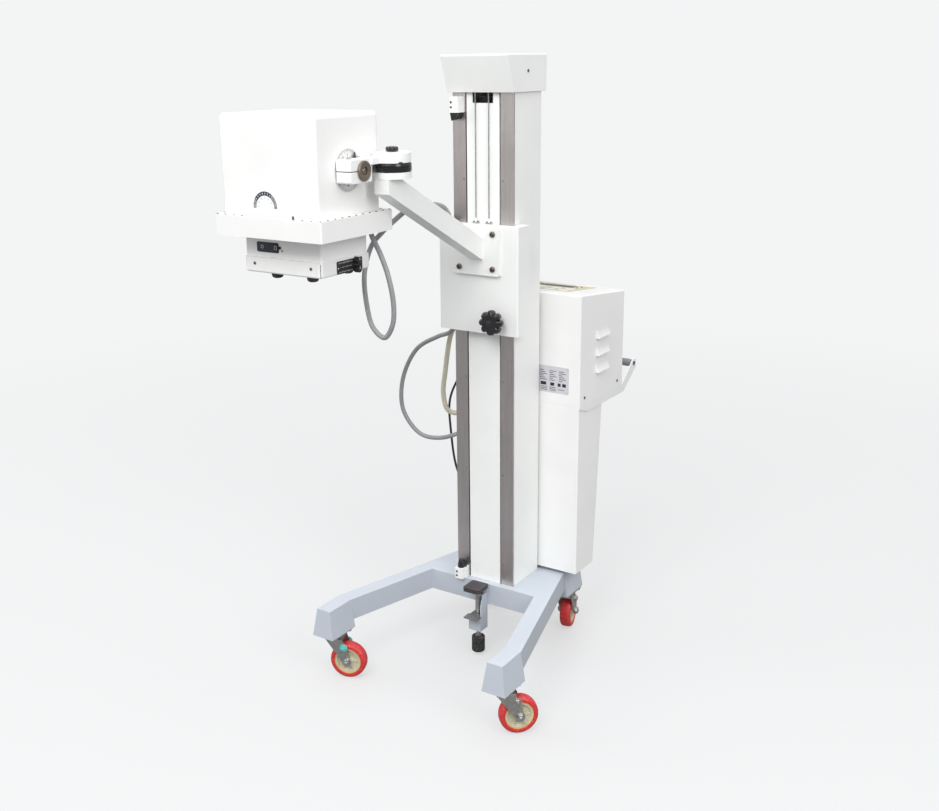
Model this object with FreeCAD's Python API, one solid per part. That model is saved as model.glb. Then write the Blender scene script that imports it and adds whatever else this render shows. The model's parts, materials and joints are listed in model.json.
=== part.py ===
import FreeCAD, Part
import math
import os

os.makedirs("parts", exist_ok=True)

# Mobile X-ray stand: a four-caster base, a counterbalanced column with a lifting carriage,
# a fixed arm with a swivel yoke, and a tilting tube head with a light-beam collimator.
#
# Working frame, in mm: X to the right, Y to the rear, Z up. The working origin is on the
# floor below the middle of the column's front face. At the end every part is moved so that
# the origin is on the floor at the middle of the whole unit's footprint.

Vector = FreeCAD.Vector
SIDES = (-1, 1)

# Base
BASE_TOP = 210
BASE_DEPTH = 60
BASE_WALL = 3
LEG_HALF_WIDTH = 22
LEG_REAR_X = 140
LEG_REAR_Y = 160
LEG_BEND_X = 266
LEG_BEND_Y = -303
TOE_FRONT_Y = -391
DECK_FRONT_Y = -24
DECK_REAR_Y = 230
DECK_HALF_WIDTH = 190
DECK_REAR_HALF_WIDTH = 122
TRAY_HALF_WIDTH = 158
TRAY_REAR_HALF_WIDTH = 98
TRAY_ROOF = 5
BOOT_BOTTOM = 132
BOOT_WALL = 4
FRONT_BOOT = {"top": ((245, 288), (-391, -304)), "bottom": ((233, 300), (-399, -301))}
REAR_BOOT = {"top": ((118, 162), (158, 250)), "bottom": ((112, 174), (157, 253))}

# Casters
WHEEL_RADIUS = 50
WHEEL_HALF_WIDTH = 16
HUB_RADIUS = 37
CASTER_HEIGHT = BOOT_BOTTOM
CASTER_TRAIL = 36
FORK_INSIDE = 19
FORK_PLATE = 3
AXLE_RADIUS = 5
RUNNING_GAP = 0.05
FORK_HALF_WIDTH = 24
FORK_TIP_HALF_WIDTH = 9
FORK_BOSS_RADIUS = 12
BOLT_HEAD_RADIUS = 8.5
BOLT_HEAD_HEIGHT = 5
HUB_BOSS_RADIUS = 11
TYRE_ROUNDING = 6
CASTER_PLATE_HALF_SIZE = (29, 38)
CASTER_PLATE_THICKNESS = 5
RACE_CUP_RADIUS = 27
RACE_RADIUS = 23
RACE_DEPTH = 6
FRONT_CASTER_X = 266
FRONT_CASTER_Y = -346
REAR_CASTER_X = 145
REAR_CASTER_Y = 205
CASTERS = {
    "front_left": (-FRONT_CASTER_X, FRONT_CASTER_Y, 20),
    "front_right": (FRONT_CASTER_X, FRONT_CASTER_Y, 45),
    "rear_left": (-REAR_CASTER_X, REAR_CASTER_Y, 75),
    "rear_right": (REAR_CASTER_X, REAR_CASTER_Y, 105),
}

# Column
COLUMN_HALF_WIDTH = 90
COLUMN_DEPTH = 133
COLUMN_TOP = 1535
SHEET = 2
RAIL_INNER_X = 52
RAIL_THICKNESS = 4
PANEL_HALF_WIDTH = 48
PANEL_FRONT_Y = -5
PANEL_DEPTH = 25
ROPE_SLOT_HALF_WIDTH = 30
ROPE_SLOT_BOTTOM = 1507
MOUTH_HALF_WIDTH = 62
FOOT_PLATE_THICKNESS = 5
FOOT_PLATE_FRONT_Y = 30
SPACER_X = 60
SPACER_HALF_WIDTH = 10
SPACER_Y = 139
SPACER_Z = (260, 980)
CAP_BOTTOM = 1533
CAP_TOP = 1624
CAP_HALF_WIDTH = 97
CAP_FRONT_BOTTOM_Y = -16
CAP_FRONT_TOP_Y = -49
CAP_REAR_Y = 146
CAP_ROUNDING = 4
RAIL_SCREWS = 5
RAIL_SCREW_SPACING = 262
RAIL_SCREW_FIRST_Z = 270
RAIL_SCREW_INSET = 6
CAP_SCREW = (52, 1583)

# Ropes, pulley and counterweight
ROPE_X = 19.5
ROPE_Y = -9
ROPE_RADIUS = 1.5
PULLEY_PITCH_RADIUS = 35
PULLEY_Y = ROPE_Y + PULLEY_PITCH_RADIUS
PULLEY_Z = 1562
PULLEY_OUTER_RADIUS = 40
PULLEY_HALF_WIDTH = 26
PULLEY_AXLE_RADIUS = 6
REAR_ROPE_Y = PULLEY_Y + PULLEY_PITCH_RADIUS
BRIDGE_HALF_WIDTH = 88
BRIDGE_THICKNESS = 4
BRIDGE_OPENING_HALF_WIDTH = 33
CHEEK_X = (35, 39)
CHEEK_HEIGHT = 43
AXLE_HEAD_RADIUS = 9
WEIGHT_HALF_WIDTH = 62
WEIGHT_FRONT_Y = 36
WEIGHT_REAR_Y = 124
WEIGHT_BOTTOM = 500
WEIGHT_HEIGHT = 320
SOCKET_RADIUS = 6
FERRULE_RADIUS = 3.2
FERRULE_LENGTH = 14

# Travel stops on the left rail
STOP_LEFT_X = -81
STOP_RIGHT_X = -55
STOP_FRONT_Y = -38
STOP_ROUNDING = 5
TOP_STOP_Z = (1484, 1523)
TOP_BUFFER_BOTTOM = 1464
BOTTOM_STOP_Z = (210, 240)
BOTTOM_BUFFER_TOP = 268

# Carriage
CARRIAGE_HALF_WIDTH = 119
CARRIAGE_FRONT_Y = -32.4
CARRIAGE_REAR_Y = 25
CARRIAGE_Z = (927, 1208)
CARRIAGE_NOTCH_Y = -6.5
FRAME_PLATE = 3
ROLLER_RADIUS = 11
ROLLER_X = (62, 78)
ROLLER_Z = {"upper": 1160, "lower": 1008}
ROLLER_AXLE_RADIUS = 4
FRAME_HALF_WIDTH = 96
FRAME_Z = (940, 1200)
EARS_X = ((56, 59), (81, 84))
EAR_HALF_HEIGHT = 10
TONGUE_X = (49, 51)
TONGUE_Z = (985, 1195)
TONGUE_REAR_Y = 16
SHOE_HEIGHT = 40
LIFT_KNOB_X = 57
LIFT_KNOB_Z = 965
LIFT_KNOB_Y = (-74, -50)
LIFT_KNOB_RADIUS = 33
LIFT_KNOB_LOBES = 8
LIFT_NECK_RADIUS = 11
LIFT_STEM_RADIUS = 5

# Arm
ARM_HALF_WIDTH = 20
ARM_WALL = 3
ARM_ROOT_Z = (1121, 1177)
ARM_SLOPE = math.tan(math.radians(27.6))
ARM_END_Y = -432
ARM_TOP_Z = 1358
ARM_PLATE_FRONT_Y = -42
ARM_PLATE_HALF_WIDTH = 69
ARM_PLATE_Z = (1081, 1205)
ARM_BOLT_X = 50
ARM_BOLT_Z = (1099, 1188)

# Swivel
SWIVEL_Y = -390
SWIVEL_RADIUS = 44
RIM_TOP = 1372
RING_TOP = 1392
YOKE_TOP = 1416
KINGPIN_RADIUS = 10
PAN_KNOB_RADIUS = 15
PAN_KNOB_LOBES = 7
PAN_KNOB_TOP = 1427
PAN_STEM_RADIUS = 5

# Tilt trunnion
TILT_Y = -488
TILT_Z = 1381
TRUNNION_RADIUS = 12
CLAMP_X = (-47, -6)
CLAMP_Y = (-532, -456)
CLAMP_HALF_HEIGHT = 26
CLAMP_SLIT = 2
DIAL_RADIUS = 48
DIAL_THICKNESS = 1.5
END_DISC_RADIUS = 22.5
END_DISC_THICKNESS = 5

# Tube head
HEAD_X = (-328, -50)
HEAD_Y = (-598, -370)
HEAD_Z = (1283, 1505)
HEAD_WALL = 3
HEAD_CORNER = 12
SKIRT_X = (-337, -25)
SKIRT_Y = (-617, -360)
SKIRT_BOTTOM = 1236
SKIRT_WALL = 2.5
SKIRT_SCREW_INSET = 5
SKIRT_SCREW_SPACING = 26
PORT_RADIUS = 40
TUBE_RADIUS = 22
TUBE_X = (-270, -116)
TUBE_Z = 1335
TUBE_COLLAR_LENGTH = 12
TUBE_COLLAR_RADIUS = 14
VOLTAGE_BLOCK = ((-300, -80), (-572, -404), (1402, 1496))
POST_HALF_WIDTH = 8
REST_HALF_WIDTH = 5
REST_X = (-264, -122)

# Collimator
COLLIMATOR_X = (-306, -80)
COLLIMATOR_Y = (-555, -388)
COVER_X = (-304, -75)
COVER_Y = (-565, -384)
COVER_Z = (1147, 1182)
COLLIMATOR_WALL = 2.5
FIELD_X = (COLLIMATOR_X[0] + COLLIMATOR_X[1]) / 2
FIELD_Y = (COVER_Y[0] + COVER_Y[1]) / 2
FIELD_OPENING = 120
LEAF_THICKNESS = 3
LEAF_LENGTH = 120
LEAF_GAP = 50
SIDE_LEAF = {"width": 55, "bottom": 1157}
CROSS_LEAF = {"width": 45, "bottom": 1163}
FIELD_KNOB_Y = -442
FIELD_KNOB_Z = {"upper": 1173, "lower": 1152.5}
FIELD_KNOB_RADIUS = 8
FIELD_KNOB_LENGTH = 14
FIELD_STEM_RADIUS = 2.5
LAMP_BUTTON_X = -212
LAMP_BUTTON_Z = 1206
LAMP_BUTTON_RADIUS = 7

# Control box, cabinet and push handle
BOX_X = (-170, 212)
BOX_Y = (139, 399)
BOX_BOTTOM = 712
BOX_FRONT_TOP = 1016
BOX_REAR_TOP = 988
BOX_SCREW_Y = (166, 367)
BOX_SCREW_Z = 731
LOUVER_Y = (232, 298)
LOUVER_Z = (785, 833, 881)
LOUVER_HEIGHT = 26
LOUVER_DEPTH = 9
CONSOLE_X = (-140, 158)
CONSOLE_Y = (170, 370)
BOX_ROUNDING = 5
CORE_X = (-70, 90)
CORE_Y = (215, 325)
CORE_HEIGHT = 140
CORE_FOOT = 8
CORE_WINDOW_X = (-22, 42)
CORE_WINDOW_HALF_WIDTH = 14
COIL_X = (-34, 54)
COIL_Y = (200, 340)
COIL_HEIGHT = 88
CORE_FOOT_X = (-56, 76)
CABINET_BOTTOM = 220
CABINET_TOP_Y = 280
CABINET_BOTTOM_Y = 243
SKIN = 3
HANDLE_PLATE_BOTTOM = 688
GRIP_Y = 478
GRIP_Z = 757
GRIP_RADIUS = 11

# Floor lock
LOCK_Y = -43
LOCK_HALF_WIDTH = 19
LOCK_TUBE_Z = (78, 118)
LOCK_BRACKET_TOP = 206
LOCK_CHEEK_TOP = 186
LOCK_BACK_THICKNESS = 4
LOCK_BOLT_Z = (160, 181)
LOCK_SPINDLE_RADIUS = 5
LOCK_FOOT_RADIUS = 18.5
LOCK_FOOT_Z = (9, 55)
PEDAL_X = 24
PEDAL_Y = (-81, -30)
PEDAL_Z = (198, 211)
LEVER_Z = (121, 125)
LEVER_FRONT_Y = -86
LEVER_HINGE_Y = -32

# Cables, each with its centre line
HEAD_CABLE_RADIUS = 6
HEAD_CABLE_LINE = [
    # down from the head, around the bottom of the loop and up under the arm
    (-74, -383, 1275),
    (-72, -384, 1230),
    (-42, -388, 1180),
    (-21, -390, 1134),
    (-7, -390, 1065),
    (-12, -390, 1015),
    (-36, -390, 983),
    (-70, -388, 1002),
    (-92, -384, 1060),
    (-102, -374, 1130),
    (-97, -352, 1188),
    (-72, -342, 1222),
    (-48, -326, 1249),
    # beside the arm, then down into the top of the carriage
    (-34, -290, 1272),
    (-68, -170, 1272),
    (-105, -66, 1266),
    (-92, -30, 1250),
    (-82, -22, 1226),
    (-80, -20, 1216),
    (-80, -20, 1209),
]
LOOP_CABLE_RADIUS = 6
CARRIAGE_CABLE_LINE = [
    # out from behind the carriage, around the loop and back behind the column
    (-104, 12, 958),
    (-104, 14, 930),
    (-122, 20, 904),
    (-168, 27, 884),
    (-243, 30, 838),
    (-294, 30, 741),
    (-294, 30, 652),
    (-238, 30, 592),
    (-168, 32, 590),
    # in to the cabinet's front
    (-120, 60, 606),
    (-108, 96, 616),
    (-106, 122, 622),
    (-106, 138, 622),
]
CONDUIT_RADIUS = 7
CONDUIT_LINE = [
    # down beside the column
    (-109, 42, 958),
    (-121, 45, 925),
    (-141, 46, 880),
    (-158, 46, 786),
    (-166, 46, 714),
    (-150, 46, 670),
    # in to the cabinet's front
    (-122, 60, 664),
    (-108, 96, 684),
    (-106, 122, 690),
    (-106, 138, 690),
]


# ---- Shape helpers --------------------------------------------------------------------


def block(x, y, z):
    """A block that spans three (low, high) pairs."""
    corner = Vector(x[0], y[0], z[0])
    return Part.makeBox(x[1] - x[0], y[1] - y[0], z[1] - z[0], corner)


def rod(start, axis, radius, length):
    """A round bar from start along axis."""
    return Part.makeCylinder(radius, length, Vector(*start), Vector(*axis))


def rod_x(x, y, z, radius):
    """A round bar along X that spans the pair x."""
    return rod((x[0], y, z), (1, 0, 0), radius, x[1] - x[0])


def rod_y(x, y, z, radius):
    """A round bar along Y that spans the pair y."""
    return rod((x, y[0], z), (0, 1, 0), radius, y[1] - y[0])


def rod_z(x, y, z, radius):
    """A round bar along Z that spans the pair z."""
    return rod((x, y, z[0]), (0, 0, 1), radius, z[1] - z[0])


def polygon_face(points):
    """A flat face through the given 3D points."""
    corners = [Vector(*point) for point in points]
    return Part.Face(Part.makePolygon(corners + corners[:1]))


def prism_x(outline, x):
    """A (y, z) outline extruded along X over the pair x."""
    face = polygon_face([(x[0], y, z) for y, z in outline])
    return face.extrude(Vector(x[1] - x[0], 0, 0))


def prism_z(outline, z):
    """An (x, y) outline extruded up over the pair z."""
    face = polygon_face([(x, y, z[0]) for x, y in outline])
    return face.extrude(Vector(0, 0, z[1] - z[0]))


def inset(pair, amount):
    """A (low, high) pair pulled in at both ends."""
    return (pair[0] + amount, pair[1] - amount)


def union(shapes):
    """One solid from shapes that touch or overlap."""
    shapes = list(shapes)
    return shapes[0].multiFuse(shapes[1:]).removeSplitter()


def group(shapes):
    """Separate solids kept in one node."""
    return Part.makeCompound(list(shapes))


def mirrored(shape):
    """The shape reflected to the other side of the middle plane x = 0."""
    return shape.mirror(Vector(0, 0, 0), Vector(1, 0, 0))


def turned(shape, centre, degrees):
    """The shape turned about a vertical line through centre."""
    copy = shape.copy()
    copy.rotate(Vector(centre[0], centre[1], 0), Vector(0, 0, 1), degrees)
    return copy


def fillet_where(shape, radius, wanted):
    """Round the edges for which wanted(edge) is true."""
    return shape.makeFillet(radius, [edge for edge in shape.Edges if wanted(edge)])


def runs_along(edge, axis):
    """True for a straight edge parallel to axis."""
    if not isinstance(edge.Curve, Part.Line):
        return False
    return abs(abs(edge.Curve.Direction.dot(Vector(*axis))) - 1) < 1e-6


def edge_height(edge):
    """The height of the middle of an edge."""
    return edge.CenterOfMass.z


def swept_cable(points, radius):
    """A round cable along a smooth curve through the points."""
    curve = Part.BSplineCurve()
    curve.interpolate([Vector(*point) for point in points])
    spine = Part.Wire([curve.toShape()])
    start = curve.value(curve.FirstParameter)
    tangent = curve.tangent(curve.FirstParameter)[0]
    section = Part.Wire([Part.makeCircle(radius, start, tangent)])
    return spine.makePipeShell([section], True, True)


def lobed_knob(axis_point, axis, radius, thickness, lobes):
    """A round knob body with lobes around its rim, standing on axis_point."""
    lobe_radius = radius * 0.26
    core_radius = radius - lobe_radius
    parts = [Part.makeCylinder(core_radius, thickness)]
    for index in range(lobes):
        angle = 2 * math.pi * index / lobes
        centre = Vector(core_radius * math.cos(angle), core_radius * math.sin(angle), 0)
        parts.append(Part.makeCylinder(lobe_radius, thickness, centre))
    knob = union(parts)
    turn = FreeCAD.Rotation(Vector(0, 0, 1), Vector(*axis))
    knob.Placement = FreeCAD.Placement(Vector(*axis_point), turn)
    return knob


# ---- Base and casters -----------------------------------------------------------------


def leg_outline(half_width, rear_y):
    """The outline of the right leg and toe, seen from above."""
    run = LEG_REAR_Y - LEG_BEND_Y
    angle = math.atan2(LEG_BEND_X - LEG_REAR_X, run)
    miter = half_width * math.tan(angle / 2)
    reach = half_width / math.cos(angle)
    rear_x = LEG_BEND_X - (rear_y - LEG_BEND_Y) * math.tan(angle)
    return [
        (rear_x + reach, rear_y),
        (LEG_BEND_X + half_width, LEG_BEND_Y + miter),
        (LEG_BEND_X + half_width, TOE_FRONT_Y),
        (LEG_BEND_X - half_width, TOE_FRONT_Y),
        (LEG_BEND_X - half_width, LEG_BEND_Y - miter),
        (rear_x - reach, rear_y),
    ]


def trapezium(front_half_width, rear_half_width, y):
    """An outline that narrows from its front edge to its rear edge."""
    return [
        (-front_half_width, y[0]),
        (front_half_width, y[0]),
        (rear_half_width, y[1]),
        (-rear_half_width, y[1]),
    ]


def boot(plan):
    """A tapered foot and the hollow inside it, which is open below."""

    def frustum(shrink, top, bottom):
        rings = []
        for (x, y), z in ((plan["top"], top), (plan["bottom"], bottom)):
            x, y = inset(x, shrink), inset(y, shrink)
            corners = [(x[0], y[0], z), (x[1], y[0], z), (x[1], y[1], z), (x[0], y[1], z)]
            rings.append(polygon_face(corners).OuterWire)
        return Part.makeLoft(rings, True, True)

    outer = frustum(0, BASE_TOP, BOOT_BOTTOM)
    inner = frustum(BOOT_WALL, BASE_TOP - BOOT_WALL, BOOT_BOTTOM - 0.001)
    return outer, inner


def base_frame():
    """Welded base: a deck tray, two splayed box legs and four hollow boots."""
    legs_z = (BASE_TOP - BASE_DEPTH, BASE_TOP)
    front_boot = boot(FRONT_BOOT)
    rear_boot = boot(REAR_BOOT)
    leg = prism_z(leg_outline(LEG_HALF_WIDTH, LEG_REAR_Y), legs_z)
    hollow = prism_z(
        leg_outline(LEG_HALF_WIDTH - BASE_WALL, LEG_REAR_Y - 20),
        inset(legs_z, BASE_WALL),
    )
    solids = [leg, front_boot[0], rear_boot[0]]
    cuts = [hollow, front_boot[1], rear_boot[1]]
    deck_y = (DECK_FRONT_Y, DECK_REAR_Y)
    deck = prism_z(trapezium(DECK_HALF_WIDTH, DECK_REAR_HALF_WIDTH, deck_y), legs_z)
    tray = prism_z(
        trapezium(TRAY_HALF_WIDTH, TRAY_REAR_HALF_WIDTH, inset(deck_y, BASE_WALL)),
        (BASE_TOP - BASE_DEPTH - 1, BASE_TOP - TRAY_ROOF),
    )
    everything = [deck] + solids + [mirrored(shape) for shape in solids]
    frame = union(everything).cut(tray)
    for cut in cuts:
        frame = frame.cut(cut).cut(mirrored(cut))
    return frame


def caster_plate(x, y):
    """A caster's top plate with the cup of its swivel race."""
    plate_z = (CASTER_HEIGHT - CASTER_PLATE_THICKNESS, CASTER_HEIGHT)
    cup_z = (plate_z[0] - RACE_DEPTH, plate_z[0])
    half_x, half_y = CASTER_PLATE_HALF_SIZE
    plate = block((x - half_x, x + half_x), (y - half_y, y + half_y), plate_z)
    cup = rod_z(x, y, cup_z, RACE_CUP_RADIUS)
    hollow = rod_z(x, y, (cup_z[0] - 1, cup_z[1] - 1.5), RACE_RADIUS)
    bore = rod_z(x, y, (cup_z[0], plate_z[1]), AXLE_RADIUS + RUNNING_GAP)
    return union([plate, cup]).cut(hollow).cut(bore)


def caster_fork(x, y, heading):
    """A swivel fork with its kingpin, and the wheel's axle bolt."""
    outer = FORK_INSIDE + FORK_PLATE
    bridge_z = (CASTER_HEIGHT - 15 - FORK_PLATE, CASTER_HEIGHT - 15)
    profile = [
        (-FORK_HALF_WIDTH, bridge_z[1]),
        (FORK_HALF_WIDTH, bridge_z[1]),
        (CASTER_TRAIL + FORK_TIP_HALF_WIDTH + 2, WHEEL_RADIUS + 6),
        (CASTER_TRAIL + FORK_TIP_HALF_WIDTH - 2, WHEEL_RADIUS - 9),
        (CASTER_TRAIL - FORK_TIP_HALF_WIDTH + 2, WHEEL_RADIUS - 9),
    ]
    solids = [block((-FORK_HALF_WIDTH, FORK_HALF_WIDTH), (-outer, outer), bridge_z)]
    for side in SIDES:
        inner_y = side * FORK_INSIDE
        face = polygon_face([(px, inner_y, pz) for px, pz in profile])
        cheek = face.extrude(Vector(0, side * FORK_PLATE, 0))
        centre = (CASTER_TRAIL, inner_y, WHEEL_RADIUS)
        boss = rod(centre, (0, side, 0), FORK_BOSS_RADIUS, FORK_PLATE)
        solids += [cheek, boss]
    solids.append(rod_z(0, 0, (bridge_z[1] - 1, CASTER_HEIGHT - 8), RACE_RADIUS - 2))
    solids.append(rod_z(0, 0, (bridge_z[1] - 1, CASTER_HEIGHT - 0.5), AXLE_RADIUS))
    axle = rod((CASTER_TRAIL, -outer, WHEEL_RADIUS), (0, 1, 0), AXLE_RADIUS, 2 * outer)
    fork = union(solids).cut(axle)
    heads = []
    for side in SIDES:
        start = (CASTER_TRAIL, side * outer, WHEEL_RADIUS)
        heads.append(rod(start, (0, side, 0), BOLT_HEAD_RADIUS, BOLT_HEAD_HEIGHT))
    bolt = union([axle] + heads)
    both = group([fork, bolt])
    both.translate(Vector(x, y, 0))
    return turned(both, (x, y), heading)


def caster_wheel(x, y, heading):
    """A hub with a bore that runs on the axle bolt, and the tyre around it."""
    middle = Vector(x + CASTER_TRAIL, y, WHEEL_RADIUS)

    def drum(radius, half_width):
        start = middle - Vector(0, half_width, 0)
        return Part.makeCylinder(radius, 2 * half_width, start, Vector(0, 1, 0))

    hub = drum(HUB_RADIUS, WHEEL_HALF_WIDTH - 3)
    hub = union([hub, drum(HUB_BOSS_RADIUS, FORK_INSIDE - 1)])
    hub = hub.cut(drum(AXLE_RADIUS + RUNNING_GAP, FORK_INSIDE))
    tyre = drum(WHEEL_RADIUS, WHEEL_HALF_WIDTH)
    tyre = tyre.makeFillet(TYRE_ROUNDING, [edge for edge in tyre.Edges if edge.Length > 300])
    tyre = tyre.cut(drum(HUB_RADIUS, WHEEL_HALF_WIDTH + 1))
    return turned(group([hub, tyre]), (x, y), heading)


# ---- Column ---------------------------------------------------------------------------


def column_shell():
    """Folded sheet column, open at the front between its two flanges."""
    outer = block(
        (-COLUMN_HALF_WIDTH, COLUMN_HALF_WIDTH), (0, COLUMN_DEPTH), (BASE_TOP, COLUMN_TOP)
    )
    inside_x = COLUMN_HALF_WIDTH - SHEET
    hollow = block(
        (-inside_x, inside_x), (SHEET, COLUMN_DEPTH - SHEET), (BASE_TOP, COLUMN_TOP)
    )
    mouth = block((-MOUTH_HALF_WIDTH, MOUTH_HALF_WIDTH), (0, SHEET), (BASE_TOP, COLUMN_TOP))
    shell = outer.cut(hollow).cut(mouth)
    foot = block(
        (-inside_x, inside_x),
        (FOOT_PLATE_FRONT_Y, COLUMN_DEPTH - SHEET),
        (BASE_TOP, BASE_TOP + FOOT_PLATE_THICKNESS),
    )
    spacers = []
    for side in SIDES:
        x = (side * SPACER_X - SPACER_HALF_WIDTH, side * SPACER_X + SPACER_HALF_WIDTH)
        spacers.append(block(x, (COLUMN_DEPTH, SPACER_Y), SPACER_Z))
    return union([shell, foot] + spacers)


def column_panel():
    """White centre panel: a deep channel with the rope slot at its top."""
    z = (BASE_TOP, COLUMN_TOP)
    outer = block((-PANEL_HALF_WIDTH, PANEL_HALF_WIDTH), (PANEL_FRONT_Y, PANEL_DEPTH), z)
    inside = PANEL_HALF_WIDTH - SHEET
    hollow = block((-inside, inside), (PANEL_FRONT_Y + SHEET, PANEL_DEPTH), z)
    slot = block(
        (-ROPE_SLOT_HALF_WIDTH, ROPE_SLOT_HALF_WIDTH),
        (PANEL_FRONT_Y, PANEL_FRONT_Y + SHEET),
        (ROPE_SLOT_BOTTOM, COLUMN_TOP),
    )
    return outer.cut(hollow).cut(slot)


def guide_rails():
    """The two ground steel strips that the carriage runs on."""
    right = block(
        (RAIL_INNER_X, COLUMN_HALF_WIDTH), (-RAIL_THICKNESS, 0), (BASE_TOP, COLUMN_TOP)
    )
    return group([right, mirrored(right)])


def column_cap():
    """Hood over the pulley, with a front that leans out going up."""

    def outline(shrink):
        return [
            (CAP_FRONT_BOTTOM_Y + shrink, CAP_BOTTOM + shrink),
            (CAP_FRONT_TOP_Y + shrink * 1.4, CAP_TOP - shrink),
            (CAP_REAR_Y - shrink, CAP_TOP - shrink),
            (CAP_REAR_Y - shrink, CAP_BOTTOM + shrink),
        ]

    outer = prism_x(outline(0), (-CAP_HALF_WIDTH, CAP_HALF_WIDTH))
    outer = fillet_where(outer, CAP_ROUNDING, lambda edge: edge_height(edge) > CAP_TOP - 1)
    inside_x = CAP_HALF_WIDTH - SHEET
    hollow = prism_x(outline(SHEET), (-inside_x, inside_x))
    opening_x = COLUMN_HALF_WIDTH + 0.5
    opening = block(
        (-opening_x, opening_x), (-12, COLUMN_DEPTH + 0.5), (CAP_BOTTOM - 1, CAP_BOTTOM + 3)
    )
    return outer.cut(hollow).cut(opening)


def pulley_bracket():
    """Bridge plate on the column's top with two cheeks and the fixed pulley axle."""
    plate_top = COLUMN_TOP + BRIDGE_THICKNESS
    plate = block(
        (-BRIDGE_HALF_WIDTH, BRIDGE_HALF_WIDTH), (3, COLUMN_DEPTH - 3), (COLUMN_TOP, plate_top)
    )
    opening = block(
        (-BRIDGE_OPENING_HALF_WIDTH, BRIDGE_OPENING_HALF_WIDTH),
        (2, REAR_ROPE_Y + 12),
        (COLUMN_TOP - 1, plate_top + 1),
    )
    cheeks, heads = [], []
    for side in SIDES:
        x = sorted(side * value for value in CHEEK_X)
        cheek_y = (PULLEY_Y - 20, PULLEY_Y + 30)
        cheeks.append(block(x, cheek_y, (COLUMN_TOP, COLUMN_TOP + CHEEK_HEIGHT)))
        start = (side * CHEEK_X[1], PULLEY_Y, PULLEY_Z)
        heads.append(rod(start, (side, 0, 0), AXLE_HEAD_RADIUS, 5))
    bridge = union([plate.cut(opening)] + cheeks)
    axle = rod_x((-CHEEK_X[1], CHEEK_X[1]), PULLEY_Y, PULLEY_Z, PULLEY_AXLE_RADIUS)
    return group([bridge.cut(axle), union([axle] + heads)])


def rope_pulley():
    """Sheave with one groove for each rope and a bore that runs on the axle."""
    wide = (-PULLEY_HALF_WIDTH, PULLEY_HALF_WIDTH)
    sheave = rod_x(wide, PULLEY_Y, PULLEY_Z, PULLEY_OUTER_RADIUS)
    for side in SIDES:
        x = side * ROPE_X
        groove_radius = ROPE_RADIUS + 0.1
        centre, axis = Vector(x, PULLEY_Y, PULLEY_Z), Vector(1, 0, 0)
        bed = Part.makeTorus(PULLEY_PITCH_RADIUS, groove_radius, centre, axis)
        throat = (x - groove_radius, x + groove_radius)
        gap = rod_x(throat, PULLEY_Y, PULLEY_Z, PULLEY_OUTER_RADIUS + 1)
        gap = gap.cut(rod_x(throat, PULLEY_Y, PULLEY_Z, PULLEY_PITCH_RADIUS))
        sheave = sheave.cut(bed).cut(gap)
    return sheave.cut(rod_x(wide, PULLEY_Y, PULLEY_Z, PULLEY_AXLE_RADIUS + RUNNING_GAP))


def wire_ropes():
    """Two steel ropes from the carriage, over the pulley, to the counterweight."""
    ropes = []
    for side in SIDES:
        x = side * ROPE_X
        low_front = Vector(x, ROPE_Y, CARRIAGE_Z[1] + FERRULE_LENGTH)
        high_front = Vector(x, ROPE_Y, PULLEY_Z)
        crown = Vector(x, PULLEY_Y, PULLEY_Z + PULLEY_PITCH_RADIUS)
        high_rear = Vector(x, REAR_ROPE_Y, PULLEY_Z)
        low_rear = Vector(x, REAR_ROPE_Y, WEIGHT_BOTTOM + WEIGHT_HEIGHT + FERRULE_LENGTH)
        spine = Part.Wire(
            [
                Part.makeLine(low_front, high_front),
                Part.Arc(high_front, crown, high_rear).toShape(),
                Part.makeLine(high_rear, low_rear),
            ]
        )
        section = Part.Wire([Part.makeCircle(ROPE_RADIUS, low_front, Vector(0, 0, 1))])
        ropes.append(spine.makePipeShell([section], True, False))
    return group(ropes)


def counterweight():
    """Cast block inside the column, with a socket on top for each rope."""
    top = WEIGHT_BOTTOM + WEIGHT_HEIGHT
    body = block(
        (-WEIGHT_HALF_WIDTH, WEIGHT_HALF_WIDTH),
        (WEIGHT_FRONT_Y, WEIGHT_REAR_Y),
        (WEIGHT_BOTTOM, top),
    )
    body = fillet_where(body, 6, lambda edge: runs_along(edge, (0, 0, 1)))
    sockets = [
        rod_z(side * ROPE_X, REAR_ROPE_Y, (top - 1, top + FERRULE_LENGTH), SOCKET_RADIUS)
        for side in SIDES
    ]
    return union([body] + sockets)


def stop_blocks():
    """Travel stops bolted to the left rail, one high and one low."""
    blocks = []
    for z in (TOP_STOP_Z, BOTTOM_STOP_Z):
        stop = block((STOP_LEFT_X, STOP_RIGHT_X), (STOP_FRONT_Y, -RAIL_THICKNESS), z)
        rounded = fillet_where(
            stop,
            STOP_ROUNDING,
            lambda edge: runs_along(edge, (0, 0, 1)) and edge.CenterOfMass.y < -20,
        )
        blocks.append(rounded)
    return group(blocks)


def stop_buffers():
    """Rubber buffers on the facing ends of the two stops."""
    x = inset((STOP_LEFT_X, STOP_RIGHT_X), 3)
    front, rear = STOP_FRONT_Y + 4, -RAIL_THICKNESS - 2
    top = prism_x(
        [
            (front, TOP_STOP_Z[0]),
            (rear, TOP_STOP_Z[0]),
            (rear, TOP_BUFFER_BOTTOM + 4),
            (rear - 6, TOP_BUFFER_BOTTOM),
            (front + 12, TOP_BUFFER_BOTTOM),
        ],
        x,
    )
    bottom = block(x, (front, rear), (BOTTOM_STOP_Z[1], BOTTOM_BUFFER_TOP))
    rounding = 7
    bottom = fillet_where(
        bottom, rounding, lambda edge: edge_height(edge) > BOTTOM_BUFFER_TOP - 1
    )
    return group([top, bottom])


# ---- Fasteners on the stand -----------------------------------------------------------

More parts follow.
